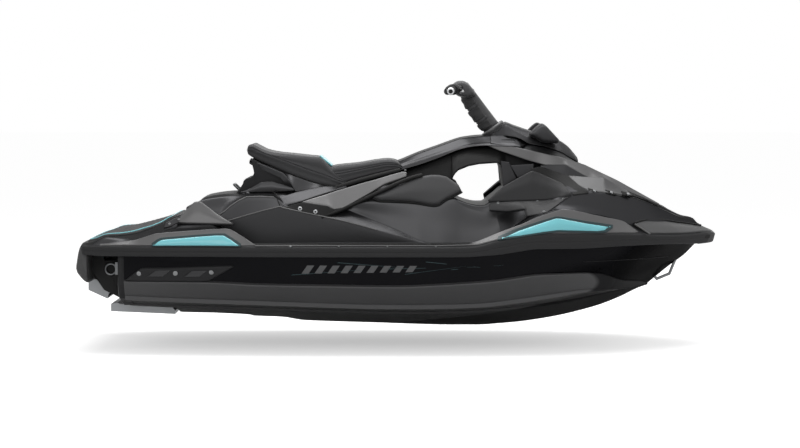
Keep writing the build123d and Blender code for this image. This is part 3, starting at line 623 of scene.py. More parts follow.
# ---------------------------------------------------------------------------------------------
# Pedestal
# The long box between the footwells that carries the seat, moulded with the deck. A sloping ridge
# runs down each flank, and its front drops to a saddle under the bridge.
PEDESTAL_FOOT = (
    (-1045, 300, 500), (-862, 306, 470), (-800, 308, 300), (-700, 308, 292), (440, 308, 292),
    (500, 320, 380), (660, 330, 440),
)
RIDGE_LOW = (
    (-1045, 292, 548), (-960, 300, 536), (-880, 304, 529), (-826, 305, 542), (-747, 306, 566),
    (-668, 306, 588), (-584, 306, 609), (-573, 306, 603), (-470, 306, 580), (-384, 306, 562),
    (-273, 305, 538), (-194, 305, 517), (-115, 304, 495), (-36, 304, 474), (42, 303, 453), (97, 303, 436),
    (184, 298, 422), (300, 290, 422), (440, 292, 436), (540, 318, 466), (660, 330, 500),
)
RIDGE_HIGH = (
    (-1045, 286, 574), (-960, 290, 570), (-880, 297, 568), (-848, 298, 588), (-826, 298, 609),
    (-787, 298, 635), (-747, 297, 654), (-684, 296, 657), (-613, 296, 653), (-584, 298, 634),
    (-560, 302, 612), (-470, 303, 590), (-384, 300, 570), (-321, 268, 580), (-266, 250, 588),
    (-194, 250, 567), (-115, 260, 535), (-36, 273, 502), (43, 286, 466), (97, 296, 442), (184, 294, 428),
    (300, 286, 430), (440, 288, 448), (540, 312, 480), (660, 324, 512),
)
SILL_EDGE = (
    (-1045, 240, 600), (-960, 240, 640), (-880, 238, 652), (-772, 236, 664), (-604, 236, 668),
    (-480, 241, 650), (-376, 244, 636), (-268, 246, 630), (-111, 250, 628), (37, 252, 622), (110, 253, 618),
    (185, 254, 628), (261, 255, 645), (300, 257, 620), (333, 259, 599), (382, 262, 583), (416, 264, 576),
    (488, 269, 568), (550, 278, 578), (612, 293, 594), (660, 305, 606),
)
SHOULDER = (
    (-1045, 190, 604), (-1000, 190, 616), (-960, 190, 650), (-820, 190, 668), (-604, 190, 671),
    (-376, 190, 666), (-111, 190, 716), (37, 192, 730), (120, 214, 700), (185, 232, 664), (261, 243, 652),
    (300, 246, 634), (333, 248, 622), (382, 250, 613), (416, 252, 614), (440, 254, 634), (470, 256, 658),
    (505, 258, 686), (540, 262, 698), (600, 268, 712), (660, 276, 724),
)
PEDESTAL_TOP = (
    (-1045, 0, 604), (-1000, 0, 618), (-960, 0, 652), (-820, 0, 672), (-604, 0, 675), (-376, 0, 674),
    (-111, 0, 726), (37, 0, 738), (120, 0, 722), (185, 0, 690), (261, 0, 658), (300, 0, 638), (337, 0, 626),
    (387, 0, 618), (420, 0, 618), (438, 0, 640), (470, 0, 664), (505, 0, 694), (540, 0, 716), (660, 0, 736),
)
pedestal_at = np.concatenate([np.linspace(-1045, -560, 40), np.linspace(-545, 660, 84)])
pedestal_lines = [
    line(t, pedestal_at) for t in (PEDESTAL_TOP, SHOULDER, SILL_EDGE, RIDGE_HIGH, RIDGE_LOW, PEDESTAL_FOOT)
]
pedestal_half = rounded(pedestal_lines, [0, 40, 8, 5, 3, 0], [6, 5, 8, 4, 8], swell=[0, 0, -2, 0, -2])
pedestal = piece("pedestal", [skin(full_width(pedestal_half), 5)], "hull", body_paint, sharp=38)
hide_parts("pedestal")


# ---------------------------------------------------------------------------------------------
# Front cowl
# The bow moulding from the side covers up to the lid. Its middle is open over the storage tub,
# and a crease sweeps forward along each flank to the bow cap.
COWL_FOOT = ((440, 512, 478),) + tuple((x, y - 1, h - 1) for x, y, h in COVER_TOP if x >= 471)
COWL_BAND = (
    (500, 466, 462), (540, 464, 506), (620, 450, 564), (700, 442, 602), (781, 434, 620), (869, 412, 616),
    (967, 376, 602), (1065, 330, 580), (1150, 280, 560), (1240, 222, 542), (1340, 150, 522),
    (1440, 84, 504), (1515, 40, 490), (1560, 10, 474),
)
COWL_SEAM = (
    (496, 312, 462), (540, 316, 500), (620, 350, 560), (700, 388, 622), (760, 394, 660), (817, 382, 687),
    (926, 346, 680), (1025, 306, 670), (1123, 254, 652), (1200, 198, 630), (1300, 122, 586),
    (1393, 74, 542), (1440, 54, 526), (1478, 38, 506), (1560, 7, 468),
)
COWL_RISE = (
    (470, 268, 566), (540, 276, 580), (620, 286, 620), (700, 276, 700), (760, 268, 745), (817, 262, 760),
    (905, 256, 746), (1000, 232, 716), (1072, 200, 692), (1142, 160, 660), (1242, 100, 612),
    (1343, 62, 568), (1393, 50, 549), (1440, 38, 534), (1464, 30, 524), (1486, 24, 508), (1560, 5, 470),
)
COWL_SHOULDER = (
    (500, 236, 610), (560, 238, 700), (620, 242, 780), (700, 244, 795), (817, 246, 800), (905, 210, 786),
    (1000, 176, 750), (1072, 156, 720), (1142, 134, 682), (1242, 92, 628), (1343, 40, 577), (1393, 32, 554),
    (1412, 29, 548), (1440, 25, 543), (1464, 20, 534), (1486, 16, 511), (1560, 4, 471),
)
LID_EDGE = (
    (520, 0, 640), (560, 0, 740), (620, 0, 800), (700, 0, 820), (817, 0, 815), (902, 0, 796),
    (904, 168, 786), (1000, 154, 748), (1060, 146, 722), (1142, 118, 684), (1230, 88, 634), (1288, 76, 604),
    (1290, 0, 606), (1343, 0, 580), (1393, 0, 556), (1412, 0, 550), (1440, 0, 545), (1464, 0, 536),
    (1486, 0, 513), (1560, 0, 472),
)
cowl_at = np.concatenate([
    np.linspace(640, 890, 26), [901, 902.5, 904], np.linspace(915, 1275, 36), [1288, 1289.5, 1291],
    np.linspace(1300, 1560, 34),
])


def cowl_line(table):
    """Long line on the cowl: its own aft start, then the stations that all of them share."""
    start = table[0][0]
    return line(table, np.concatenate([start + (630 - start) * np.linspace(0, 1, 22), cowl_at]))


cowl_lines = [cowl_line(t) for t in (LID_EDGE, COWL_SHOULDER, COWL_RISE, COWL_SEAM, COWL_BAND, COWL_FOOT)]
cowl = skin(rounded(cowl_lines, [0, 8, 6, 9, 14, 0], [4, 4, 5, 8, 5]), 5)
# The deck's charcoal paint darkened to about seven tenths: painted shade on the cowl's flanks.
cowl_paint_shaded = finish(
    "cowl_metal_flake_painted_shade", (0.036, 0.036, 0.038), (0.042, 0.042, 0.044), 0.29, 0.35, metal=0.85, coat=0.02,
    level=0.2, mottle=2.2, grain=2200.0, depth=0.0002, strength=0.22, coat_rough=0.12, edge=0.15,
)
front_cowl = piece("front_cowl", pair(cowl), "hull", cowl_paint_shaded, sharp=36)
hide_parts("front_cowl")


# ---------------------------------------------------------------------------------------------
# Side covers and their inlays
# Thin grey covers fitted over the deck's facets at the stern and bow quarters. Each frames a
# raised glossy inlay in bright teal that sits in a dark bezel.
cover_grey = finish(
    "cover_grey_satin", (0.118, 0.117, 0.118), (0.134, 0.133, 0.134), 0.32, 0.40, metal=0.6, level=0.3,
    mottle=3.0, grain=1700.0, depth=0.0002, strength=0.2, edge=0.3,
)
bezel_teal = finish(
    "dark_teal_bezel", (0.004, 0.022, 0.026), (0.006, 0.030, 0.034), 0.28, 0.36, mottle=8.0, depth=0.0002,
    strength=0.15,
)
inlay_teal = finish(
    "bright_teal_inlay", (0.150, 0.520, 0.580), (0.180, 0.570, 0.625), 0.20, 0.28, coat=0.4, mottle=5.0,
    grain=600.0, depth=0.0001, strength=0.1,
)


def along(table, shares, passes=0):
    """Points at shares of the length of a polyline, after its corners are eased by averaging each of 240
    points with its neighbours `passes` times."""
    table = np.asarray(table, float)
    if passes:
        table = spread(table, 240)
        for _ in range(passes):
            table[1:-1] = 0.25 * table[:-2] + 0.5 * table[1:-1] + 0.25 * table[2:]
    far = np.concatenate([[0], np.cumsum(np.linalg.norm(np.diff(table, axis=0), axis=1))])
    return np.column_stack([np.interp(np.asarray(shares) * far[-1], far, c) for c in table.T])


def panel(lower, upper, thick, rim=4.0, back=4.0, crown=0.0, rows=40, cols=8, passes=0, side=-1):
    """Closed cover between two edge lines. Its face stands off the surface ruled between them by
    thick * sqrt(1 - (1 - d / rim)^2) + crown * sin(pi v)^2 * sin(pi u), with d the distance to the nearest
    edge, at most rim, and its back lies `back` under that surface. `side` is -1, or 1 where that turns
    its face outward."""
    size = np.linalg.norm(np.diff(spread(np.asarray(lower, float), 60), axis=0), axis=1).sum()
    near = rim * (1 - np.cos(np.linspace(0, math.pi / 2, 6)))
    u = np.concatenate([
        near / size, np.linspace(rim / size, 1 - rim / size, rows)[1:-1], 1 - near[::-1] / size,
    ])
    low, high = along(lower, u, passes), along(upper, u, passes)
    width = np.linalg.norm(high - low, axis=1)
    edge = np.minimum(near[None, :] / width[:, None], 0.45)
    inner = edge[:, -1:] + (1 - 2 * edge[:, -1:]) * np.linspace(0, 1, cols)[None, 1:-1]
    v = np.hstack([edge, inner, 1 - edge[:, ::-1]])
    base = low[:, None] + (high - low)[:, None] * v[:, :, None]
    across = np.minimum(v, 1 - v) * width[:, None]
    lengthwise = np.minimum(u, 1 - u)[:, None] * size
    d = np.minimum(np.minimum(across, lengthwise) / rim, 1)
    rise = thick * np.sqrt(np.maximum(1 - (1 - d) ** 2, 0))
    rise = rise + crown * np.sin(np.pi * v) ** 2 * np.sin(np.pi * u)[:, None]
    out = facing(base) * side
    return closed_shell(base + out * rise[:, :, None], base - out * back)


def deck_facet(x, h, off=0.0):
    """Half breadth of the deck's facet at a station and height, between gunwale and cover top, plus a gap."""
    low = smooth(GUNWALE, np.atleast_1d(x).astype(float))
    high = smooth(COVER_TOP, np.atleast_1d(x).astype(float))
    share = (h - low[:, 1]) / np.maximum(high[:, 1] - low[:, 1], 1)
    return low[:, 0] + (high[:, 0] - low[:, 0]) * np.clip(share, -0.2, 1.1) + off


def on_facet(outline, off):
    """Rows (x, y, height) of an outline of (x, height) laid on the deck's facet."""
    outline = np.asarray(outline, float)
    return np.column_stack([outline[:, 0], deck_facet(outline[:, 0], outline[:, 1], off), outline[:, 1]])


FRONT_COVER_LOW = (
    (318, 434), (372, 438), (467, 462), (563, 480), (659, 491), (764, 490), (861, 489), (958, 488),
    (1055, 487), (1140, 484), (1152, 486),
)
FRONT_COVER_TOP = (
    (318, 437), (375, 455), (471, 494), (587, 536), (679, 574), (776, 605), (839, 597), (947, 572),
    (1062, 546), (1082, 540), (1152, 489),
)
REAR_COVER_LOW = ((-1440, 430), (-1300, 431), (-1100, 432), (-900, 432), (-760, 433), (-690, 434))
REAR_COVER_TOP = (
    (-1440, 434), (-1408, 436), (-1264, 457), (-1215, 474), (-1168, 489), (-1071, 497), (-975, 504),
    (-831, 514), (-808, 510), (-750, 476), (-690, 437),
)
covers = []
for low, top in ((FRONT_COVER_LOW, FRONT_COVER_TOP), (REAR_COVER_LOW, REAR_COVER_TOP)):
    covers += pair(panel(on_facet(low, 2), on_facet(top, 2), 4.5, rim=4, rows=60, passes=1))
side_covers = piece("side_covers", covers, "hull", cover_grey, sharp=50)
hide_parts("side_covers")

FRONT_INLAY_LOW = (
    (481, 468), (562, 478), (687, 496), (754, 503), (813, 501), (947, 495), (984, 498), (1012, 516),
)
FRONT_INLAY_TOP = (
    (482, 470), (562, 506), (688, 547), (746, 564), (767, 563), (897, 538), (998, 521), (1014, 518),
)
REAR_INLAY_LOW = (
    (-1182, 432), (-1172, 429), (-1100, 430), (-950, 431), (-850, 431), (-775, 430), (-762, 431),
)
REAR_INLAY_TOP = (
    (-1182, 435), (-1155, 455), (-1138, 462), (-974, 477), (-878, 484), (-838, 484), (-800, 462),
    (-762, 436),
)


def widened(table, out, up):
    """Outline of (x, height) grown along its ends by `out` and moved by `up`."""
    rows = np.asarray(table, float).copy()
    middle = rows[:, 0].mean()
    rows[:, 0] = middle + (rows[:, 0] - middle) * (1 + 2 * out / np.ptp(rows[:, 0]))
    rows[:, 1] += up
    return rows


inlays, bezels = [], []
for low, top in ((FRONT_INLAY_LOW, FRONT_INLAY_TOP), (REAR_INLAY_LOW, REAR_INLAY_TOP)):
    rear = low[0][0] < 0
    drop, out, off = (1.0, 5, 6) if rear else (6.0, 14, 9)
    bezels += pair(panel(
        on_facet(widened(low, out, -drop), off), on_facet(widened(top, out, 8), off), 2.5, rim=2.5, back=3,
        rows=60,
    ))
    inlays += pair(panel(
        on_facet(widened(low, -3, 3.5), off + 2), on_facet(widened(top, -3, -3), off + 2), 5.0, rim=8,
        back=3, crown=3, rows=60,
    ))
inlay_bezels = piece("inlay_bezels", bezels, "hull", bezel_teal, sharp=50)
side_inlays = piece("side_inlays", inlays, "hull", inlay_teal, sharp=50)
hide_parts("side_inlays")


# ---------------------------------------------------------------------------------------------
# Sponsons
# Black nylon fins bolted along the hull's aft sides, each with three bolt heads and two
# parallelogram pockets that lighten it.
SPONSON_LOW = ((-1316, 262), (-1240, 259), (-1100, 259), (-980, 259), (-915, 262), (-850, 298), (-795, 330))
SPONSON_TOP = (
    (-1316, 266), (-1258, 311), (-1236, 326), (-1121, 328), (-880, 338), (-800, 341), (-795, 337),
)


def hull_side_at(x, h, off=0.0):
    """Half breadth of the hull's black side at a station and height, from knuckle to rail, plus a gap."""
    x = np.atleast_1d(x).astype(float)
    rows = [smooth(t, x) for t in (KNUCKLE_HIGH, SIDE_LOW, SIDE_HIGH, RAIL_FOOT)]
    heights = np.stack([r[:, 1] for r in rows])
    breadths = np.stack([r[:, 0] for r in rows])
    h = np.broadcast_to(h, x.shape)
    k = np.clip((heights < h).sum(0) - 1, 0, 2)
    n = np.arange(len(x))
    share = (h - heights[k, n]) / (heights[k + 1, n] - heights[k, n])
    return breadths[k, n] + (breadths[k + 1, n] - breadths[k, n]) * share + off


def on_side(outline, off):
    """Rows (x, y, height) of an outline of (x, height) laid on the hull's black side."""
    outline = np.asarray(outline, float)
    return np.column_stack([outline[:, 0], hull_side_at(outline[:, 0], outline[:, 1], off), outline[:, 1]])


def stud(place, out, radius, height):
    """Round bolt head: a turned profile with a chamfered rim and a socket, from a place along a direction."""
    profile = (
        (0, radius * 1.25), (height * 0.3, radius * 1.25), (height * 0.3, radius), (height * 0.8, radius),
        (height, radius * 0.78), (height, radius * 0.45), (height * 0.55, radius * 0.42),
        (height * 0.55, radius * 0.02),
    )
    return turned(profile, place, out, sides=16)


def studs(places, out, radius, height):
    """Bolt heads at places, each with its twin on the other side."""
    return [part for place in places for part in pair(stud(place, out, radius, height))]


def turned(profile, place, axis, sides=32, loop=False):
    """Solid of revolution of rows (distance along the axis, radius), whose end rings close it, or whose rows
    join up as a loop."""
    axis = np.asarray(axis, float) / np.linalg.norm(axis)
    other = np.array([0.0, 0.0, 1.0]) if abs(axis[2]) < 0.8 else np.array([1.0, 0.0, 0.0])
    first = np.cross(axis, other)
    first /= np.linalg.norm(first)
    second = np.cross(axis, first)
    a = np.arange(sides) * 2 * math.pi / sides
    ring = np.cos(a)[:, None] * first + np.sin(a)[:, None] * second
    profile = np.asarray(profile, float)
    points = np.asarray(place, float) + profile[:, :1, None] * axis + profile[:, 1:, None] * ring
    return grid(points, ring=True, loop=loop, caps=not loop)


fastener_steel = finish(
    "stainless_fasteners", (0.22, 0.225, 0.23), (0.28, 0.285, 0.29), 0.28, 0.38, metal=1.0, mottle=30.0,
    grain=1500.0, depth=0.0001, strength=0.1,
)
pockets, bolts = [], []
fins = pair(panel(on_side(SPONSON_LOW, 1), on_side(SPONSON_TOP, 1), 16, rim=9, back=3, rows=46, passes=3))
for start in (-1206, -1030):
    low = ((start, 284), (start + 74, 285))
    top = ((start + 40, 314), (start + 112, 316))
    pockets += pair(panel(on_side(low, 16), on_side(top, 16), 3, rim=2, back=3, rows=10, cols=4))
for x, h in ((-1247, 299), (-1072, 301), (-899, 307)):
    bolts += pair(stud((x, hull_side_at(x, h, 15)[0], h), (0, 1, 0), 9, 6))
sponsons = piece("sponsons", fins, "hull", black_plastic, sharp=40)
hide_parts("sponsons")
sponson_pockets = piece("sponson_pockets", pockets, "hull", body_paint, sharp=40)
sponson_bolts = piece("sponson_bolts", bolts, "hull", fastener_steel)


# ---------------------------------------------------------------------------------------------
# Seat base
# The tapering tail moulding that carries the seat: painted facets under the cushions, a sunk
# lower side, and a raked rear end over the tow hook.
TAIL_OUTLINE = (
    (-276, 690), (-324, 687), (-372, 698), (-436, 718), (-516, 746), (-635, 794), (-733, 838), (-725, 802),
    (-717, 770), (-721, 758), (-733, 746), (-757, 741), (-769, 730), (-773, 714), (-789, 690), (-805, 670),
    (-805, 655), (-789, 655), (-773, 655), (-768, 655), (-755, 655), (-735, 655), (-720, 655), (-710, 655),
    (-703, 655), (-700, 655), (-620, 650), (-540, 640), (-470, 640), (-400, 648), (-330, 670), (-280, 686),
)


def closed_form(tables, at, radii, counts, swell=None):
    """Closed form, alike on both sides, whose half sections run through the tables' lines from the middle of
    its top to the middle of its foot. Its edges are rounded as in `rounded`, and its ends are closed."""
    lines = [line(t, at) for t in tables]
    swell = [0] * (len(lines) - 1) if swell is None else swell
    ring = rounded(
        lines + [l * (1, -1, 1) for l in lines[-2:0:-1]], list(radii) + list(radii[-2:0:-1]),
        list(counts) + list(counts[::-1]), swell=list(swell) + list(swell[::-1]), closed=True,
    )
    return grid(ring, ring=True, caps=True)


def shifted(table, half, lift):
    """Copy of a table's rows at another half breadth and lifted."""
    rows = np.asarray(table, float).copy()
    rows[:, 1] = half
    rows[:, 2] += lift
    return rows


def slice_form(outline, breadths, scales, radii, counts):
    """Closed form whose sections across the craft are one outline of (x, height), drawn towards its middle by
    a scale at each breadth."""
    outline = np.asarray(outline, float)
    middle = outline.mean(0)
    lines = []
    for corner in outline:
        rows = middle + (corner - middle) * np.asarray(scales)[:, None]
        lines.append(np.column_stack([rows[:, 0], breadths, rows[:, 1]]))
    return grid(rounded(lines, radii, counts, closed=True), ring=True, caps=True)


tail_form = slice_form(
    TAIL_OUTLINE, (-180, -178, -172, -110, 110, 172, 178, 180), (0.975, 0.99, 1, 1, 1, 1, 0.99, 0.975),
    [5] * 16 + [1] * 16, [1] * 32,
)
neck_at = np.linspace(-330, 20, 40)
neck_form = closed_form(
    (
        ((-330, 0, 686), (-250, 0, 700), (-130, 0, 736), (20, 0, 776)),
        ((-330, 166, 684), (-250, 162, 698), (-130, 160, 734), (20, 150, 774)),
        ((-330, 196, 660), (-250, 192, 672), (-130, 186, 706), (20, 176, 740)),
        ((-330, 0, 650), (-250, 0, 662), (-130, 0, 696), (20, 0, 730)),
    ),
    neck_at, [0, 6, 6, 0], [3, 3, 3],
)
seat_base = piece("seat_base", [tail_form, neck_form], "hull", black_plastic, sharp=34)
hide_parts("seat_base")

WEDGE_LOW = (
    (-738, 172, 828), (-650, 192, 795), (-571, 206, 762), (-540, 211, 724), (-512, 214, 676),
    (-440, 208, 688), (-372, 202, 698), (-318, 192, 690),
)
WEDGE_TOP = (
    (-738, 166, 834), (-635, 172, 797), (-560, 175, 766), (-516, 177, 750), (-470, 178, 734),
    (-436, 179, 722), (-372, 181, 705), (-318, 184, 694),
)
BAND_LOW = (
    (-590, 301, 604), (-477, 285, 632), (-418, 264, 652), (-354, 242, 672), (-300, 230, 690),
    (-262, 224, 700),
)
BAND_TOP = (
    (-602, 262, 646), (-510, 232, 674), (-440, 216, 690), (-371, 204, 702), (-310, 198, 700),
    (-262, 200, 708),
)
LENS_LOW = ((-790, 200, 671), (-700, 202, 672), (-620, 204, 673), (-520, 208, 680), (-508, 208, 683))
LENS_TOP = (
    (-760, 196, 676), (-730, 196, 694), (-682, 196, 724), (-626, 198, 727), (-523, 206, 697),
    (-508, 208, 686),
)
wedge = panel(WEDGE_LOW, WEDGE_TOP, 4, rim=4, back=22, rows=60, passes=1)
band = panel(BAND_LOW, BAND_TOP, 4, rim=4, back=20, rows=50, cols=6, passes=1)
lens = panel(LENS_LOW, LENS_TOP, 4, rim=6, back=22, crown=4, passes=2)
tail_panels = piece("seat_tail_panels", pair(wedge) + pair(band) + pair(lens), "hull", body_paint, sharp=40)


# ---------------------------------------------------------------------------------------------
# Side strips
# Grey blades that sweep from the tail up to the bridge on each side, over a thick black gasket,
# with a bolted recess where they leave the pedestal. Their grey is the covers' grey lightened by
# about a third, painted light on their up-facing slope. Thin pale tubes along the pedestal's ridges
# are painted highlights on its rounded edges.
STRIP_LOW = (
    (-477, 287, 626), (-420, 288, 617), (-354, 287, 607), (-322, 284, 591), (-275, 278, 599),
    (-210, 266, 635), (-148, 254, 670), (-76, 242, 714), (31, 231, 750),
)
STRIP_TOP = (
    (-477, 285, 630), (-418, 262, 648), (-354, 240, 667), (-322, 232, 678), (-275, 226, 692),
    (-195, 222, 716), (-116, 218, 737), (-37, 214, 761), (15, 212, 775), (34, 214, 771),
)
strip = panel(STRIP_LOW, STRIP_TOP, 7, rim=6, back=8, rows=70, cols=10, passes=2)
# The side covers' grey lightened by about a third: painted light on the strips' up-facing slope.
strip_grey_lit = finish(
    "strip_grey_painted_light", (0.160, 0.159, 0.160), (0.180, 0.179, 0.180), 0.32, 0.40, metal=0.6, level=0.3,
    mottle=3.0, grain=1700.0, depth=0.0002, strength=0.2, edge=0.3,
)
side_strips = piece("side_strips", pair(strip), "hull", strip_grey_lit, sharp=50)
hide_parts("side_strips")

GASKET_LINE = (
    (-384, 302, 556), (-340, 290, 572), (-300, 280, 586), (-210, 264, 626), (-160, 258, 650),
    (-131, 254, 664), (-62, 250, 696), (-12, 248, 720), (60, 245, 748), (110, 241, 760),
)
SEAT_GASKET = (
    (-734, 160, 838), (-635, 170, 790), (-516, 176, 744), (-436, 178, 716), (-372, 180, 698),
    (-324, 184, 690), (-276, 188, 706), (-196, 187, 731), (-117, 184, 752), (-37, 178, 772), (2, 168, 781),
)
SEAT_GASKET_SIZE = ((-734, 3.5), (-372, 6), (-300, 14), (2, 12))


def tube(path, radius, sides=8, passes=2, count=60, flat=1.0, lift=(0, 0, 1)):
    """Rod along a polyline: circles of the radius at each of its points, squashed by `flat` across `lift`,
    the first and last two drawn in to ease its ends."""
    path = np.asarray(path, float)
    points = along(path, np.linspace(0, 1, count), passes) if passes else path
    size = np.broadcast_to(np.asarray(radius, float), (len(points),)).astype(float)
    way = np.gradient(points, axis=0)
    way /= np.linalg.norm(way, axis=1, keepdims=True)
    points = np.vstack([
        points[:1], points[:1] + way[:1] * size[0] * 0.3, points[1:-1],
        points[-1:] - way[-1:] * size[-1] * 0.3, points[-1:],
    ])
    size = np.concatenate([[size[0] * 0.7, size[0]], size[1:-1], [size[-1], size[-1] * 0.7]])
    way = np.gradient(points, axis=0)
    way /= np.linalg.norm(way, axis=1, keepdims=True)
    first = np.cross(way, lift)
    first /= np.maximum(np.linalg.norm(first, axis=1, keepdims=True), 1e-6)
    second = np.cross(first, way)
    a = np.arange(sides) * 2 * math.pi / sides
    ring = first[:, None] * np.cos(a)[:, None] * flat + second[:, None] * np.sin(a)[:, None]
    return grid(points[:, None] + ring * size[:, None, None], ring=True, caps=True)


# Near-black rubber for the real gaskets, welts, seams and grooves, also used for sheets of painted shade in
# the gunwale gap, the cowl recess and under the stern deck.
black_rubber_and_shade = finish(
    "black_rubber_and_painted_shade", (0.006, 0.006, 0.006), (0.010, 0.010, 0.010), 0.55, 0.68, level=0.25, mottle=10.0,
    grain=1200.0, depth=0.0002,
)
gaskets = [tube(GASKET_LINE, 10, lift=(0, 1, 0), sides=14, count=40)]
thick = np.interp(np.linspace(-734, 8, 60), *np.array(SEAT_GASKET_SIZE).T)
gaskets.append(tube(SEAT_GASKET, thick, lift=(0, 1, 0), sides=14))
POCKET_LOW = ((-568, 308, 601), (-470, 308, 581), (-384, 307, 563), (-364, 304, 565), (-321, 290, 586))
POCKET_TOP = ((-566, 300, 604), (-518, 294, 620), (-479, 290, 628), (-352, 290, 610), (-321, 288, 592))
gaskets.append(panel(POCKET_LOW, POCKET_TOP, 2, rim=3, back=8, cols=6, passes=1))
gaskets.append(tube(
    ((-622, 238, 678), (-602, 270, 668), (-598, 290, 656), (-592, 302, 631), (-578, 307, 604)), 2.2,
    passes=1, lift=(0, 1, 0), count=40,
))
gasket = piece("side_gaskets", gaskets + [mirrored(part) for part in gaskets], "hull", black_rubber_and_shade)
pocket_bolts = studs(((-486, 299, 597), (-411, 299, 582)), (0, 1, 0.2), 11, 9)
# Thin pale tubes along the pedestal's ridges: painted highlights that stand in for light on its rounded
# edges.
beads = []
for rows in (RIDGE_LOW[2:13], RIDGE_HIGH[2:9]):
    beads += pair(tube([(x, y + 1.5, h + 1.0) for x, y, h in rows], 3.4, passes=1, count=80))
pedestal_edge_highlights = piece("pedestal_edge_highlights", beads, "hull", strip_grey_lit)
strip_bolts = piece("strip_bolts", pocket_bolts, "hull", fastener_steel)


# ---------------------------------------------------------------------------------------------
# Knee pads
# Moulded foam pads on the pedestal's sides, ahead of the rider's knees, edged with a black welt.
pad_vinyl = finish(
    "knee_pad_foam", (0.058, 0.058, 0.060), (0.068, 0.068, 0.070), 0.46, 0.56, level=0.35, metal=0.25,
    mottle=4.0, grain=1300.0, strength=0.4,
)
KNEE_LOW = (
    (-131, 249, 650), (-101, 251, 636), (-40, 252, 634), (37, 253, 632), (87, 254, 626), (130, 256, 617),
    (166, 257, 612), (190, 258, 616), (225, 257, 642), (262, 254, 660), (300, 250, 679),
)
KNEE_TOP = (
    (-131, 247, 654), (-62, 244, 682), (-12, 242, 708), (40, 240, 729), (87, 238, 747), (125, 237, 757),
    (158, 236, 761), (195, 236, 760), (228, 238, 752), (284, 244, 716), (300, 249, 685),
)
knee = panel(KNEE_LOW, KNEE_TOP, 13, rim=22, back=10, crown=7, rows=60, cols=14, passes=4)
knee_pads = piece("knee_pads", pair(knee), "hull", pad_vinyl, sharp=70)
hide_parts("knee_pads")
welt_line = KNEE_LOW + ((304, 247, 682),)
welt = tube([(x, y + 1, h - 4) for x, y, h in welt_line], 5, lift=(0, 1, 0), passes=4, sides=14)
knee_welts = piece("knee_pad_welts", pair(welt), "hull", black_rubber_and_shade)


# ---------------------------------------------------------------------------------------------
# Seat and bolster
# Two moulded foam cushions under one grained marine vinyl: a front saddle that rises at its nose,
# and a rear bolster that curls up behind. Welded seams divide the sides from the crowned top.
seat_vinyl = finish(
    "marine_vinyl", (0.054, 0.054, 0.056), (0.067, 0.067, 0.069), 0.44, 0.54, level=0.2, metal=0.2,
    mottle=5.0, grain=700.0, depth=0.0006, strength=0.45, edge=0.3,
)


def ribs_at(x, pitch):
    """Rounded rib of unit height at arrays of distances, 0 in the grooves."""
    return np.clip(0.5 + 1.4 * np.cos(2 * math.pi * x / pitch), 0, 1)


CHANNEL_PITCH, CHANNEL_DEPTH = 37, 2.5


def cushion(at, rows, draw):
    """Crowned cushion lofted along stations from rows (top, foot, half breadths of foot and side, crown, side
    seam's height). Its sides bulge from the foot out to the seam's groove and pull in above it to a soft
    edge, and the middle of its top has sewn cross channels. `draw` shrinks its end sections."""
    top, foot, half_foot, half_side, crown, seam = rows.T
    middle = (top + foot) / 2
    top = middle + (top - middle) * draw
    foot = middle + (foot - middle) * draw
    seam = middle + (seam - middle) * draw
    half_foot = half_foot * draw ** 0.3
    half_side = half_side * draw ** 0.3
    half_top = half_side - 20
    tall = top - foot
    zero = np.zeros(len(at))
    corners = [
        (zero, foot), (half_foot, foot), (half_foot + 4, foot + 0.10 * tall), (half_side, seam - 4),
        (half_side - 5, seam), (half_side - 1.5, seam + 4), (half_top + 14, top - 0.16 * tall),
        (half_top, top - 0.01 * tall), (half_top * 0.5, top - 3 + crown * 0.3),
        (zero, top - 3 + crown * 0.4),
    ]
    right = [np.column_stack([at, y, h]) for y, h in corners]
    ring = right + [r * (1, -1, 1) for r in right[-2:0:-1]]
    radii = [0, 6, 6, 3, 2, 3, 10, 9, 50, 60, 50, 9, 10, 3, 2, 3, 6, 6]
    counts = [3, 1, 4, 1, 1, 5, 2, 5, 5, 5, 5, 2, 5, 1, 1, 4, 1, 3]
    form = rounded(
        ring, radii, counts, swell=[0, 0, 3, 0, 0, 3, 0, 0, 0, 0, 0, 0, 3, 0, 0, 3, 0, 0], closed=True,
    )
    inner = np.clip((half_top[:, None] - 16 - np.abs(form[:, :, 1])) / 5, 0, 1)
    upper = form[:, :, 2] > middle[:, None]
    away_from_ends = np.clip(draw * 3 - 2, 0, 1)[:, None]
    channels = 1 - ribs_at(form[:, :, 0], CHANNEL_PITCH)
    form[:, :, 2] -= CHANNEL_DEPTH * inner * upper * channels * away_from_ends
    return grid(form, ring=True, caps=True)


def seat_rows(table, count, ends):
    """Stations crowding at a table's ends, its rows there, and the half circle share sqrt(1 - (1 - d)^2) that
    draws the end sections in."""
    table = np.asarray(table, float)
    t = 0.5 - 0.5 * np.cos(np.linspace(0, math.pi, count))
    at = table[0, 0] + (table[-1, 0] - table[0, 0]) * t
    draw = np.minimum(np.clip(t / ends[0], 0, 1), np.clip((1 - t) / ends[1], 0, 1))
    return at, smooth(table, at), 0.25 + 0.75 * np.sqrt(1 - (1 - draw) ** 2)


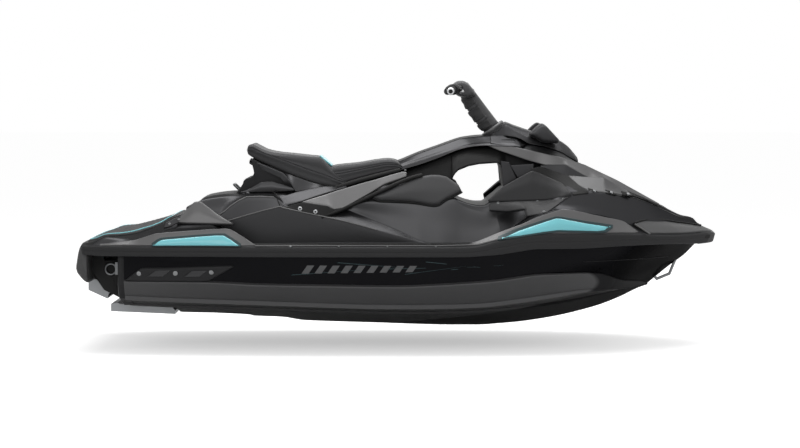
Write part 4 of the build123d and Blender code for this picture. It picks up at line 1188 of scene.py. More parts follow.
BOLSTER = (
    (-755, 886, 868, 124, 148, 0, 878), (-750, 898, 860, 130, 152, 1, 884),
    (-742, 906, 853, 136, 157, 2, 888), (-725, 910, 843, 142, 162, 3, 888),
    (-708, 902, 834, 147, 165, 5, 880), (-658, 878, 811, 154, 170, 7, 860),
    (-599, 866, 785, 162, 175, 8, 840), (-509, 857, 749, 168, 178, 8, 805),
    (-436, 849, 724, 170, 178, 7, 779), (-395, 845, 711, 170, 178, 5, 765),
    (-355, 811, 702, 170, 177, 4, 751), (-338, 794, 698, 170, 177, 3, 744),
    (-300, 762, 695, 169, 176, 2, 728), (-258, 734, 706, 168, 174, 1, 718),
)
FRONT_SEAT = (
    (-356, 786, 708, 160, 166, 3, 756), (-336, 798, 706, 164, 170, 5, 760),
    (-310, 803, 709, 164, 171, 6, 762), (-211, 813, 738, 162, 169, 8, 780),
    (-112, 829, 763, 158, 165, 8, 800), (-62, 834, 776, 155, 161, 7, 808),
    (-32, 831, 782, 152, 158, 5, 808), (-12, 823, 785, 150, 155, 4, 805), (8, 806, 789, 147, 151, 2, 797),
    (22, 794, 787, 144, 148, 1, 791),
)
bolster = piece(
    "seat_bolster", [cushion(*seat_rows(BOLSTER, 84, (0.015, 0.03)))], "seat", seat_vinyl, sharp=60,
)
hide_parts("seat_bolster")
seat = piece("seat", [cushion(*seat_rows(FRONT_SEAT, 80, (0.04, 0.05)))], "seat", seat_vinyl, sharp=60)
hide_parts("seat")
inset = panel(
    ((-336, -96, 801), (-336, 96, 801)), ((-396, -104, 851), (-396, 104, 851)), 2.5, rim=4, rows=20, side=1,
)
seat_accent = piece("seat_accent", [inset], "seat", inlay_teal, sharp=60)


# ---------------------------------------------------------------------------------------------
# Bridge and its cover
# A black arch carries the steering over the gap between pedestal and bow. A charcoal cover with a
# chamfered back runs along its top from the seat's nose and flares into a plate at the pole.
HOLE_TOP = (
    (252, 600), (257, 736), (263, 752), (272, 766), (287, 781), (337, 801), (387, 811), (440, 815),
    (477, 817), (486, 812), (492, 806), (502, 771), (508, 730), (512, 701), (516, 640), (520, 600),
)
bridge_low = ((30, 600), (248, 600)) + HOLE_TOP + ((700, 600), (950, 600))
bridge_wide = (
    (30, 175), (200, 198), (400, 204), (500, 212), (560, 222), (640, 226), (760, 226), (950, 150),
)
bridge_top = (
    (30, 780), (88, 800), (187, 835), (287, 875), (337, 889), (427, 895), (527, 892), (587, 889),
    (640, 889), (700, 870), (786, 840), (880, 790), (950, 730),
)
bridge_at = np.unique(np.concatenate([
    np.linspace(30, 244, 12), [248, 252, 254.5, 257, 260, 263, 267, 272, 279], np.linspace(287, 477, 20),
    [482, 486, 489, 492, 497, 502, 505, 508, 512, 516, 520, 530], np.linspace(545, 950, 22),
]))


def bridge_line(half, level, lift=0.0):
    """Rows at the bridge's stations of a line at a share of its half breadth, between foot and top."""
    low = np.interp(bridge_at, *np.array(bridge_low).T)
    top = np.interp(bridge_at, *np.array(bridge_top).T)
    wide = np.interp(bridge_at, *np.array(bridge_wide).T)
    return np.column_stack([bridge_at, wide * half, low + (top - low) * level + lift])


bridge_form = closed_form(
    (
        bridge_line(0, 1, 4), bridge_line(0.62, 1), bridge_line(0.74, 0.86), bridge_line(1, 0.10),
        bridge_line(0.97, 0), bridge_line(0, 0),
    ),
    bridge_at, [0, 10, 8, 6, 6, 0], [3, 2, 6, 1, 4], swell=[0, 0, 2, 0, 0],
)
bridge = piece("bridge", [bridge_form], "hull", black_rubber_and_shade, sharp=40)
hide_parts("bridge")

COVER_LINE_TOP = (
    (-36, 94, 812), (4, 96, 826), (88, 98, 861), (187, 100, 896), (287, 104, 931), (307, 105, 936),
    (387, 110, 946), (467, 118, 949), (557, 122, 947), (590, 112, 938), (610, 92, 926), (632, 60, 906),
)
COVER_LINE_CREASE = (
    (-36, 124, 796), (4, 128, 810), (88, 129, 838), (187, 131, 870), (287, 135, 900), (337, 140, 912),
    (400, 150, 920), (430, 158, 922), (500, 170, 928), (557, 176, 926), (590, 168, 916), (610, 150, 908),
    (632, 100, 898),
)
COVER_LINE_SIDE = (
    (-36, 142, 772), (4, 150, 783), (88, 152, 806), (187, 153, 841), (287, 156, 881), (337, 162, 894),
    (400, 176, 902), (427, 186, 903), (500, 206, 902), (557, 214, 899), (590, 206, 896), (610, 186, 893),
    (632, 130, 890),
)
cover_at = np.concatenate([np.linspace(-36, 300, 34), np.linspace(312, 632, 36)])
cover_form = closed_form(
    (
        shifted(COVER_LINE_TOP, 0, 7), COVER_LINE_TOP, COVER_LINE_CREASE, COVER_LINE_SIDE,
        shifted(COVER_LINE_SIDE, 130, -6), shifted(COVER_LINE_SIDE, 0, -6),
    ),
    cover_at, [0, 7, 5, 3, 2, 0], [5, 4, 6, 1, 2], swell=[0, 0, 1.5, 0, 0],
)
bridge_cover = piece("bridge_cover", [cover_form], "hull", body_paint, sharp=40)
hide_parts("bridge_cover")
PLATE_LOW = ((444, 182, 913), (491, 200, 905), (560, 212, 899), (589, 210, 896), (641, 130, 906))
PLATE_TOP = ((446, 132, 945), (454, 126, 949), (510, 124, 951), (571, 122, 951), (644, 70, 913))
cover_plate = panel(PLATE_LOW, PLATE_TOP, 3, rim=3)
cover_plates = piece("bridge_plates", pair(cover_plate), "hull", body_paint, sharp=50)


# ---------------------------------------------------------------------------------------------
# Hood blades and vents
# Long pale grey blades sweep from the bridge to the bow each side of the lid. Under them lie dark
# webs, a near-black sheet painted as the shade in the recess beneath them, and a vent panel with
# three screwed notches and a black fillet ahead.
visor_plastic = finish(
    "visor_plastic", (0.046, 0.046, 0.048), (0.054, 0.054, 0.056), 0.36, 0.46, level=0.2, metal=0.6,
    edge=0.2, mottle=5.0, grain=1300.0, depth=0.0003,
)
webs = []
for low, top in (
    (((506, 222, 704), (570, 234, 742)), ((494, 214, 828), (533, 228, 822))),
    (((576, 238, 746), (650, 252, 776)), ((539, 230, 806), (652, 252, 815))),
    (
        ((684, 264, 799), (707, 268, 794), (816, 276, 754), (889, 268, 750), (927, 258, 741)),
        ((686, 260, 806), (707, 258, 809), (805, 266, 812), (890, 264, 764), (929, 254, 748)),
    ),
):
    webs += pair(panel(low, top, 3, rim=3, back=9, rows=24))
hood_webs = piece("hood_webs", webs, "hull", visor_plastic, sharp=50)
RECESS_LOW = ((636, 266, 768), (718, 286, 742), (791, 344, 704), (836, 392, 667), (910, 358, 674))
RECESS_TOP = (
    (640, 258, 792), (681, 262, 802), (760, 272, 777), (815, 284, 758), (862, 324, 716), (912, 354, 684),
)
# A near-black sheet laid over the recess under the blades: painted shade that stands in for the dark there.
recess = panel(RECESS_LOW, RECESS_TOP, 4, rim=5, back=8)
cowl_recess_shade = piece("cowl_recess_shade", pair(recess), "hull", black_rubber_and_shade, sharp=50)

BLADE_LOW = (
    (421, 168, 906), (488, 192, 877), (616, 232, 834), (707, 254, 808), (805, 266, 810), (890, 264, 761),
    (927, 256, 743), (1000, 234, 738), (1060, 208, 708), (1123, 184, 676), (1200, 144, 644),
    (1285, 96, 606),
)
BLADE_TOP = (
    (421, 166, 910), (525, 198, 904), (647, 238, 879), (788, 246, 846), (873, 208, 818), (905, 190, 808),
    (991, 165, 766), (1072, 152, 728), (1142, 132, 689), (1242, 96, 634), (1285, 82, 610),
)
blade = panel(BLADE_LOW, BLADE_TOP, 4, rim=4, back=8, rows=90, cols=10, passes=1)
hood_blades = piece("hood_blades", pair(blade), "hull", cover_grey, sharp=50)
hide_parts("hood_blades")

VENT_LOW = (
    (817, 284, 754), (868, 326, 707), (917, 338, 683), (1002, 314, 674), (1087, 282, 664), (1132, 256, 659),
)
VENT_TOP = (
    (821, 276, 757), (888, 264, 752), (949, 246, 748), (997, 230, 745), (1052, 208, 713), (1110, 214, 680),
)
vent = panel(VENT_LOW, VENT_TOP, 5, rim=4, back=7, rows=44, cols=10)
vent_grey = finish(
    "vent_grey_satin", (0.088, 0.088, 0.089), (0.100, 0.100, 0.101), 0.34, 0.42, metal=0.6, level=0.3,
    mottle=3.0, grain=1700.0, depth=0.0002, strength=0.2, edge=0.3,
)
vent_panels = piece("vent_panels", pair(vent), "hull", vent_grey, sharp=50)
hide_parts("vent_panels")
notches, notch_bolts = [], []
for x, h, y in ((917, 683, 340), (1002, 674, 315), (1086, 665, 284)):
    low = ((x - 6, y + 1, h - 3), (x + 50, y - 15, h - 11))
    top = ((x - 8, y - 17, h + 16), (x + 26, y - 17, h + 6))
    notches += pair(panel(low, top, 6, rim=2, rows=12, cols=5))
    notch_bolts += pair(stud((x + 24, y - 9, h), (0, 0.7, 0.7), 6, 10))
STRIPE_LOW = ((1090, 226, 672), (1115, 212, 666), (1197, 156, 638), (1228, 126, 628))
STRIPE_TOP = ((1049, 208, 718), (1099, 186, 694), (1150, 160, 665), (1228, 119, 631))
notches += pair(panel(STRIPE_LOW, STRIPE_TOP, 1.5, rim=2, back=9, rows=30, cols=5))
vent_notches = piece("vent_notches", notches, "hull", black_rubber_and_shade)
vent_bolts = piece("vent_bolts", notch_bolts, "hull", fastener_steel)


# ---------------------------------------------------------------------------------------------
# Foot guards
# Dark domed guards over the front of the footwells, screwed down along their lower edge. A panel
# under each closes the toe's outer side, and a sealed joint of body and cowl runs down from it.
GUARD_LOW = (
    (429, 350, 630), (520, 358, 634), (610, 364, 637), (702, 374, 641), (790, 404, 655), (824, 394, 663),
)
GUARD_TOP = (
    (429, 346, 645), (454, 336, 667), (502, 318, 709), (581, 304, 752), (641, 298, 783), (677, 300, 772),
    (786, 336, 722), (827, 386, 675),
)
guard = panel(GUARD_LOW, GUARD_TOP, 9, rim=11, back=12, crown=8, rows=70, cols=14, passes=1)
guard_plastic = finish(
    "guard_plastic", (0.018, 0.018, 0.019), (0.024, 0.024, 0.025), 0.40, 0.50, level=0.25, metal=0.3,
    mottle=5.0, grain=1400.0, depth=0.0003, strength=0.35,
)
foot_guards = piece("foot_guards", pair(guard), "hull", guard_plastic, sharp=60)
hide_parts("foot_guards")
toe_low = (
    (432, 378, 592), (520, 396, 588), (600, 416, 600), (612, 440, 566), (640, 456, 572), (700, 470, 582),
    (746, 442, 612), (800, 408, 648), (826, 396, 661),
)
toe_top = (
    (432, 348, 630), (520, 356, 634), (600, 362, 637), (612, 363, 637), (640, 366, 638), (702, 372, 641),
    (760, 390, 650), (800, 402, 657), (826, 392, 664),
)
toe = panel(toe_low, toe_top, 6, rim=4, back=6, crown=3, rows=90)
guard_flanges = piece("guard_flanges", pair(toe), "hull", guard_plastic, sharp=60)
guard_screws = studs(
    ((474, 358, 627), (664, 374, 635), (786, 406, 649), (690, 462, 592)), (0, 0.85, 0.5), 6, 7,
)
seam_path = (
    (826, 394, 665), (800, 406, 654), (782, 414, 643), (746, 440, 617), (712, 461, 594), (700, 471, 586),
)
seam = tube(seam_path, 2.2, passes=1, count=40)
guard_seams = piece("guard_seams", pair(seam), "hull", black_rubber_and_shade)
guard_bolts = piece("guard_bolts", guard_screws, "hull", fastener_steel)


# ---------------------------------------------------------------------------------------------
# Visor, dash and mirrors
# A dark cowl over the instruments, its black shroud below, a glass display facing the rider, and
# a mirror pod on each side.
dash_at = np.linspace(600, 882, 30)
DASH_TOP = ((600, 0, 930), (632, 0, 915), (686, 0, 905), (786, 0, 884), (840, 0, 852), (882, 0, 824))
DASH_EDGE = (
    (600, 150, 905), (632, 160, 906), (686, 172, 898), (786, 168, 870), (840, 140, 838), (882, 80, 812),
)
DASH_SIDE = (
    (600, 214, 870), (632, 224, 866), (686, 236, 848), (786, 238, 828), (840, 226, 812), (882, 180, 794),
)
dash_form = closed_form(
    (DASH_TOP, DASH_EDGE, DASH_SIDE, shifted(DASH_SIDE, 200, -30), shifted(DASH_SIDE, 0, -40)), dash_at,
    [0, 12, 8, 6, 0], [4, 6, 2, 3], swell=[0, 3, 0, 0],
)
dash = piece("dash", [dash_form], "hull", black_plastic, sharp=40)
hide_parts("dash")

VISOR_TOP = (
    (456, 40, 961), (468, 48, 968), (486, 68, 980), (504, 80, 1000), (522, 86, 1012), (530, 88, 1010),
    (560, 96, 998), (586, 102, 989), (636, 108, 972), (700, 108, 954), (786, 98, 923), (835, 78, 891),
    (862, 54, 861), (884, 26, 834),
)
VISOR_SIDE = (
    (456, 76, 957), (468, 84, 961), (486, 98, 970), (504, 108, 988), (522, 116, 999), (530, 119, 996),
    (560, 132, 980), (586, 144, 966), (620, 154, 948), (660, 162, 928), (700, 168, 912), (786, 164, 884),
    (835, 140, 858), (862, 110, 840), (884, 60, 822),
)
VISOR_FOOT = (
    (456, 78, 949), (468, 86, 949), (486, 110, 950), (504, 128, 950), (522, 142, 950), (530, 146, 949),
    (560, 157, 945), (586, 164, 938), (636, 172, 912), (700, 178, 900), (786, 172, 873), (835, 146, 845),
    (862, 114, 831), (884, 62, 818),
)
visor_at = np.concatenate([
    [456, 462, 468, 474, 480, 486], np.linspace(494, 530, 6), np.linspace(540, 884, 40),
])
visor_form = closed_form(
    (
        shifted(VISOR_TOP, 0, 6), VISOR_TOP, VISOR_SIDE, VISOR_FOOT, shifted(VISOR_FOOT, 60, -2),
        shifted(VISOR_FOOT, 0, -2),
    ),
    visor_at, [0, 5, 3, 3, 2, 0], [5, 5, 4, 2, 2], swell=[0, 1, 0, 0, 0],
)
visor = piece("visor", [visor_form], "hull", visor_plastic, sharp=34)
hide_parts("visor")

MIRROR_OUTLINE = (
    (630, 955), (652, 982), (674, 1002), (688, 1011), (700, 1011), (716, 1001), (784, 928), (772, 912),
    (700, 916),
)
pod = slice_form(
    MIRROR_OUTLINE, (140, 150, 176, 206, 236, 256, 264, 268), (0.9, 0.97, 1.0, 0.97, 0.9, 0.8, 0.66, 0.4),
    [8, 10, 8, 8, 8, 8, 10, 10, 12], [2, 2, 2, 2, 2, 3, 2, 3, 3],
)
mirrors = piece("mirrors", pair(pod), "hull", visor_plastic, sharp=60)
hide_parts("mirrors")
glass = panel(
    ((643, 190, 956), (650, 254, 956)), ((664, 190, 988), (669, 246, 984)), 1.5, rim=3, back=6, rows=12,
)
mirror_glass = finish(
    "mirror_glass", (0.40, 0.42, 0.44), (0.44, 0.46, 0.48), 0.03, 0.06, metal=1.0, mottle=2.0, grain=300.0,
    depth=0.00002, strength=0.02,
)
mirror_faces = piece("mirror_faces", pair(glass), "hull", mirror_glass)
display = panel(
    ((474, -66, 965), (474, 66, 965)), ((505, -74, 1003), (505, 74, 1003)), 4, rim=5, rows=24, cols=10,
)
display_glass = finish(
    "display_glass", (0.004, 0.005, 0.006), (0.006, 0.008, 0.009), 0.05, 0.09, coat=0.5, mottle=2.0,
    grain=300.0, depth=0.00002, strength=0.02,
)
display_face = piece("display", [display], "hull", display_glass)


# ---------------------------------------------------------------------------------------------
# Hood lid
# The storage lid between the blades, crowned to a middle rib, hinged at its front edge. Its hem
# turns down all round.
HOOD_EDGE = (
    (908, 158, 788), (1000, 147, 749), (1060, 139, 720), (1142, 111, 680), (1230, 81, 632), (1278, 70, 609),
)
HOOD_MIDDLE = ((908, 0, 797), (991, 0, 760), (1072, 0, 720), (1142, 0, 682), (1242, 0, 632), (1278, 0, 612))
HEM = 9
hood_at = np.linspace(908, 1278, 40)
hood_form = closed_form(
    (
        shifted(HOOD_MIDDLE, 0, 4), shifted(HOOD_MIDDLE, 26, 3), shifted(HOOD_MIDDLE, 44, -3), HOOD_EDGE,
        [(x, y, h - HEM) for x, y, h in HOOD_EDGE], [(x, y - 12, h - HEM) for x, y, h in HOOD_EDGE],
        shifted(HOOD_MIDDLE, 0, -10),
    ),
    hood_at, [0, 5, 8, 4, 2, 2, 0], [3, 2, 7, 2, 1, 4], swell=[0, 0, 2, 0, 0, 0],
)
hood = piece("hood", [hood_form], "hood", body_paint, sharp=34)
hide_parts("hood")


# ---------------------------------------------------------------------------------------------
# Bow cap
# A moulded cap over the stem and its quarters, a shade lighter than the cowl, that runs out into
# a blunt nose block. A black groove follows its top, and a thin lighter line along the bow below it
# is a painted highlight on the flare's crease.
CAP_LOW = (
    (1209, 330, 479), (1227, 318, 478), (1300, 264, 474), (1375, 210, 472), (1445, 147, 472),
    (1500, 96, 474), (1548, 46, 471),
)
CAP_TOP = (
    (1137, 318, 525), (1171, 276, 533), (1214, 230, 537), (1299, 164, 531), (1382, 106, 517),
    (1453, 54, 505), (1500, 34, 498), (1548, 14, 476),
)
cap = panel(CAP_LOW, CAP_TOP, 5, rim=4, back=7, crown=2, rows=60, cols=12)
nose_at = np.concatenate([np.linspace(1476, 1557, 20), np.linspace(1560, 1571, 6)])
NOSE_TOP = ((1476, 30, 502), (1510, 24, 492), (1540, 20, 482), (1560, 16, 472), (1571, 10, 462))
NOSE_EDGE = ((1476, 112, 474), (1510, 88, 473), (1540, 62, 470), (1560, 42, 467), (1571, 26, 464))
NOSE_SIDE = ((1476, 114, 414), (1510, 92, 416), (1538, 66, 418), (1557, 46, 422), (1571, 28, 456))
nose = closed_form(
    (
        shifted(NOSE_TOP, 0, 3), NOSE_TOP, NOSE_EDGE, NOSE_SIDE, shifted(NOSE_SIDE, 12, -2),
        shifted(NOSE_SIDE, 0, -2),
    ),
    nose_at, [0, 4, 4, 4, 3, 0], [2, 4, 4, 4, 1],
)
cap_grey = finish(
    "bow_cap_plastic", (0.045, 0.045, 0.046), (0.053, 0.053, 0.054), 0.38, 0.48, level=0.4, metal=0.4,
    mottle=4.0, grain=1300.0, depth=0.0003,
)
bow_cap = piece("bow_cap", pair(cap) + [nose], "hull", cap_grey, sharp=40)
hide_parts("bow_cap")
groove = tube([(x, y + 7, h + 6) for x, y, h in CAP_TOP[:-1]], 3.5)
slot_mark = panel(
    ((1512, 92, 440), (1538, 67, 440)), ((1512, 91, 458), (1544, 60, 458)), 1.5, rim=2, rows=10, cols=5,
)
cap_grooves = piece("cap_grooves", pair(groove) + pair(slot_mark), "hull", black_rubber_and_shade)
joint = tube(((1138, 334, 526), (1176, 346, 502), (1212, 350, 478)), 4, passes=0, count=20)
cap_joints = piece("cap_joints", pair(joint), "hull", cover_grey)
# A thin tube in the lighter hull grey along the bow flare: a painted highlight on its crease.
crease_x = np.linspace(880, 1330, 40)
crease = tube(
    np.column_stack([crease_x, hull_side_at(crease_x, 351, 0.5), np.full(40, 351.0)]), 2.2, passes=1,
)
bow_crease_highlights = piece("bow_crease_highlights", pair(crease), "hull", hull_grey)


# ---------------------------------------------------------------------------------------------
# Steering pole
# A tapered tube in a smooth sheath, half wrapped in foam behind, with two straps round the wrap.
# It turns in a fixed flanged collar.
POLE_FOOT = np.array([460.0, 0.0, 982.0])
POLE_WAY = np.array([-0.580703, 0.0, 0.814116])
SIDE_WAY = np.array([0.0, 1.0, 0.0])
BACK_WAY = np.cross(POLE_WAY, SIDE_WAY)


def on_pole(far, radius, turn):
    """Points about the pole's axis from arrays of the distance along it, the radius and the angle, which
    starts at port and turns aft."""
    across = SIDE_WAY * np.cos(turn)[..., None] + BACK_WAY * np.sin(turn)[..., None]
    return POLE_FOOT + POLE_WAY * far[..., None] + across * radius[..., None]


pole_profile = (
    (6, 3), (6, 42), (9, 43.5), (24, 42), (120, 39), (205, 37), (209, 39), (216, 39), (220, 36.5),
    (258, 34), (262, 31), (262, 3),
)
sheath_grey = finish(
    "pole_sheath", (0.042, 0.042, 0.044), (0.050, 0.050, 0.052), 0.40, 0.50, level=0.45, metal=0.3,
    grain=1500.0, depth=0.0003, strength=0.35,
)
handle_pole = piece(
    "handle_pole", [turned(pole_profile, POLE_FOOT, POLE_WAY, sides=40)], "steering", sheath_grey, sharp=50,
)
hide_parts("handle_pole")

WRAP_START, WRAP_LENGTH = 16, 196


def wrap_bulge(along_it, turn):
    """Swelling of the wrap, 9 sqrt(sin(pi u)) sin(turn), at a share u of its length and an angle."""
    return 9 * np.sin(np.pi * along_it) ** 0.5 * np.sin(turn.clip(0, math.pi))


far, turn = np.meshgrid(
    np.linspace(WRAP_START, WRAP_START + WRAP_LENGTH, 60), np.radians(np.linspace(-12, 192, 40)),
    indexing="ij",
)
u = (far - WRAP_START) / WRAP_LENGTH
v = (np.degrees(turn) + 12) / 204
rim = np.minimum(np.minimum(u, 1 - u) / 0.06, np.minimum(v, 1 - v) / 0.06).clip(0, 1)
bulge = wrap_bulge(u, turn) + 2.2 * np.sin(3.1 * turn + 22 * u) * np.sin(9 * u)
thick = (4 + bulge.clip(-1, 20)) * np.sqrt(1 - (1 - rim) ** 2)
for start, end in ((0.22, 0.30), (0.62, 0.71)):
    strap = ((u > start) & (u < end)).astype(float)
    thick = thick * (1 - 0.6 * strap)
core = 43 - 6 * u
wrap_foam = finish(
    "wrap_neoprene", (0.028, 0.028, 0.029), (0.038, 0.038, 0.039), 0.62, 0.76, level=0.35, mottle=25.0,
    depth=0.0009, strength=0.6,
)
pole_wrap = piece(
    "pole_wrap", [closed_shell(on_pole(far, core + 0.5 + thick, turn), on_pole(far, core - 3, turn))],
    "steering", wrap_foam, sharp=70,
)
straps = []
for start, end in ((60, 74), (139, 154)):
    far, turn = np.meshgrid(
        np.linspace(start, end, 7), np.radians(np.linspace(-16, 196, 40)), indexing="ij",
    )
    u = (far - WRAP_START) / WRAP_LENGTH
    bulge = wrap_bulge(u, turn)
    lift = 2.5 * np.sqrt(1 - ((far - (start + end) / 2) / ((end - start) / 2 + 0.1)) ** 2)
    radius = 43 - 6 * u + 2 + 0.42 * bulge + lift
    straps.append(closed_shell(on_pole(far, radius, turn), on_pole(far, radius - 4 - lift, turn)))
    place = on_pole(np.array([(start + end) / 2]), np.array([44.0]), np.radians([186.0]))[0]
    straps.append(stud(place, (0, -1, 0), 5, 5))
    straps.append(stud(place * (1, -1, 1), (0, 1, 0), 5, 5))
strap_web = finish(
    "strap_webbing", (0.045, 0.045, 0.047), (0.058, 0.058, 0.060), 0.55, 0.68, level=0.4, mottle=40.0,
    grain=1600.0, depth=0.0006, strength=0.5,
)
pole_straps = piece("pole_straps", straps, "steering", strap_web, sharp=60)

collar_profile = (
    (-74, 3), (-74, 57), (-24, 58), (-12, 61), (-6, 64), (0, 65.5), (5, 65), (8, 62), (9, 57), (6, 51),
    (-2, 49.5), (-4, 48), (-4, 3),
)
collar_grey = finish(
    "collar_satin", (0.110, 0.110, 0.112), (0.130, 0.130, 0.132), 0.36, 0.46, level=0.45, metal=0.45,
    mottle=5.0, grain=1400.0, depth=0.0002, strength=0.25,
)
pole_collar = piece(
    "pole_collar", [turned(collar_profile, POLE_FOOT, POLE_WAY, sides=48)], "hull", collar_grey, sharp=50,
)
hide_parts("pole_collar")


# ---------------------------------------------------------------------------------------------
# Handlebar, grips and controls
# A bent bar through a clamp at the pole's head, ribbed rubber grips with bright end weights, a
# switch pod and lever on each side, and a foam pad strapped over the middle.
BAR_RUN = (
    (305, 0, 1188), (305, 60, 1188), (304, 90, 1188), (290, 130, 1184.5), (252, 245, 1175),
    (246, 350, 1169.5),
)
bar_paint = finish(
    "bar_black_oxide", (0.020, 0.020, 0.021), (0.028, 0.028, 0.029), 0.30, 0.40, metal=0.6, mottle=8.0,
    grain=1500.0, depth=0.0001, strength=0.1,
)
run = np.array(BAR_RUN)
whole_bar = np.vstack([run[::-1] * (1, -1, 1), run[1:]])
handlebar = piece("handlebar", [tube(whole_bar, 11, sides=20, passes=30, count=90)], "steering", bar_paint)
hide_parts("handlebar")

GRIP_FOOT = np.array([251.2, 256.0, 1174.5])
GRIP_WAY = np.array([-8.0, 143.0, -7.0]) / math.sqrt(8 ** 2 + 143 ** 2 + 7 ** 2)
grip_profile = [(0, 11.2), (0, 21), (2, 22.5), (5, 22.5), (7, 20), (8, 17.2)]
for start in np.arange(11, 112, 7.2):
    grip_profile += [(start, 16.2), (start + 1.2, 17.3), (start + 4.6, 17.3), (start + 5.8, 16.2)]
grip_profile += [(118, 17.2), (120, 18.5), (124, 18.5), (126, 16.5), (126, 11.2)]
grip_rubber = finish(
    "grip_rubber", (0.022, 0.022, 0.023), (0.030, 0.030, 0.031), 0.56, 0.68, level=0.35, mottle=10.0,
    grain=1300.0, strength=0.4,
)
grip = turned(grip_profile, GRIP_FOOT, GRIP_WAY, sides=36, loop=True)
grips = piece("grips", pair(grip), "steering", grip_rubber, sharp=40)
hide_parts("grips")
weight_profile = (
    (126, 2), (126, 12), (127, 16.5), (129, 17.5), (135, 17.5), (137.5, 16), (138, 10.5), (132, 9.5),
    (128, 9), (128, 1),
)
weight = turned(weight_profile, GRIP_FOOT, GRIP_WAY, sides=36)
weight_alloy = finish(
    "polished_end_weight", (0.72, 0.73, 0.74), (0.80, 0.81, 0.82), 0.22, 0.32, metal=1.0, mottle=20.0,
    grain=1200.0, depth=0.0001, strength=0.08,
)
end_weights = piece("bar_end_weights", pair(weight), "steering", weight_alloy)

socket = turned(((130, 1), (130, 8.8), (138.4, 8.8), (138.8, 8), (138.8, 1)), GRIP_FOOT, GRIP_WAY, sides=24)
weight_sockets = piece("end_weight_sockets", pair(socket), "steering", black_rubber_and_shade)

POD_FOOT = np.array([303.0, 90.0, 1187.7])
POD_WAY = np.array([-53.0, 155.0, -13.0]) / math.sqrt(53 ** 2 + 155 ** 2 + 13 ** 2)
pod_profile = (
    (86, 11.2), (86, 21), (89, 24.5), (97, 26), (99, 25), (101, 26), (126, 27), (128, 26), (130, 27),
    (137, 26), (141, 23), (142, 11.2),
)
pods, levers, buttons = [], [], []
pods += pair(turned(pod_profile, POD_FOOT, POD_WAY, sides=36, loop=True))
pods += pair(tube(((268, 196, 1180), (290, 202, 1177), (304, 212, 1172)), 9, sides=14, passes=10, count=14))
levers += pair(tube(
    ((304, 210, 1172), (306, 235, 1169), (303, 290, 1165), (296, 345, 1161), (301, 356, 1161)), 5.5,
    sides=14, passes=12, count=40, flat=1.35,
))
for far, turn_by, size in ((104, 185, 5.0), (118, 185, 5.0), (111, 150, 4.0)):
    across = np.cross(POD_WAY, (0, 0, 1))
    across /= np.linalg.norm(across)
    up = np.cross(across, POD_WAY)
    out = across * math.cos(math.radians(turn_by)) + up * math.sin(math.radians(turn_by))
    buttons += pair(stud(POD_FOOT + POD_WAY * far + out * 25, out, size, 6))
controls = piece("controls", pods, "steering", black_plastic, sharp=40)
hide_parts("controls")
lever_paint = finish(
    "lever_anodised", (0.060, 0.061, 0.063), (0.080, 0.081, 0.083), 0.30, 0.40, metal=1.0, mottle=15.0,
    grain=1400.0, depth=0.0001, strength=0.1,
)
control_levers = piece("control_levers", levers, "steering", lever_paint)
switch_grey = finish(
    "switch_caps", (0.10, 0.10, 0.10), (0.13, 0.13, 0.13), 0.36, 0.46, level=0.45, mottle=20.0,
    grain=1200.0, depth=0.0001, strength=0.15,
)
control_buttons = piece("control_buttons", buttons, "steering", switch_grey)

clamp_outline = (
    (300, 1156), (348, 1136), (374, 1142), (378, 1154), (352, 1190), (326, 1208), (296, 1206), (284, 1184),
)
clamp = slice_form(
    clamp_outline, (-46, -44, -38, -20, 0, 20, 38, 44, 46), (0.86, 0.95, 1, 1, 1, 1, 1, 0.95, 0.86),
    [8] * 8, [2] * 8,
)
clamp_piece = piece("bar_clamp", [clamp], "steering", sheath_grey, sharp=50)
pad_outline = (
    (258, 1186), (264, 1206), (286, 1221), (315, 1221), (338, 1209), (359, 1184), (376, 1156), (360, 1140),
    (326, 1136), (292, 1143), (263, 1164),
)
bar_cushion = slice_form(
    pad_outline, (-96, -93, -86, -74, -52, -24, 0, 24, 52, 74, 86, 93, 96),
    (0.55, 0.72, 0.86, 0.95, 1.0, 0.97, 0.93, 0.97, 1.0, 0.95, 0.86, 0.72, 0.55), [9] * 11, [2] * 11,
)
bar_pad = piece("bar_pad", [bar_cushion], "steering", pad_vinyl, sharp=70)
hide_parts("bar_pad")


# ---------------------------------------------------------------------------------------------
# Rear chocks and stern fittings
# Pale wedges fair the rear deck into the pedestal. Black bumpers and a shelf close the stern under
# the deck's edge, with near-black inner slabs painted as the shade under it, and the boarding step
# folds up between the bumpers.
CHOCK_LOW = ((-1078, 404, 536), (-1030, 408, 530), (-960, 410, 528), (-841, 404, 524), (-806, 401, 524))
CHOCK_TOP = (
    (-1052, 380, 566), (-1030, 376, 590), (-1002, 370, 624), (-992, 368, 635), (-967, 368, 638),
    (-948, 370, 626), (-884, 380, 578), (-812, 394, 532),
)
chock = panel(CHOCK_LOW, CHOCK_TOP, 9, rim=9, back=8, crown=5, rows=50, cols=10, passes=1)
inner_low = [(x, y - 66, h + 4) for x, y, h in CHOCK_LOW]
inner_top = [(x, y - 2, h - 1) for x, y, h in CHOCK_TOP]
inner = panel(inner_low, inner_top, 4, rim=8, cols=6, passes=3, side=1)
deck_chocks = piece("deck_chocks", pair(chock) + pair(inner), "hull", cover_grey, sharp=50)
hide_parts("deck_chocks")
pocket_low = ((-1135, 432, 512), (-1100, 432, 520), (-1062, 404, 538))
pocket_top = ((-1128, 420, 536), (-1090, 406, 556), (-1050, 388, 568))
corner = panel(pocket_low, pocket_top, 4, rim=5, back=6, rows=16, cols=6)
corner_cover = piece("chock_corners", pair(corner), "hull", body_paint, sharp=50)
slots = []
for x in (-1040, -1024, -1008):
    slots += pair(panel(
        ((x, 407, 531), (x + 9, 407, 530)), ((x + 5, 404, 541), (x + 14, 404, 540)), 3, rim=1.5, back=3,
        rows=5, cols=3,
    ))
slot_bolts = studs(((-1066, 402, 550), (-1108, 424, 530)), (0, 0.8, 0.6), 6, 7)
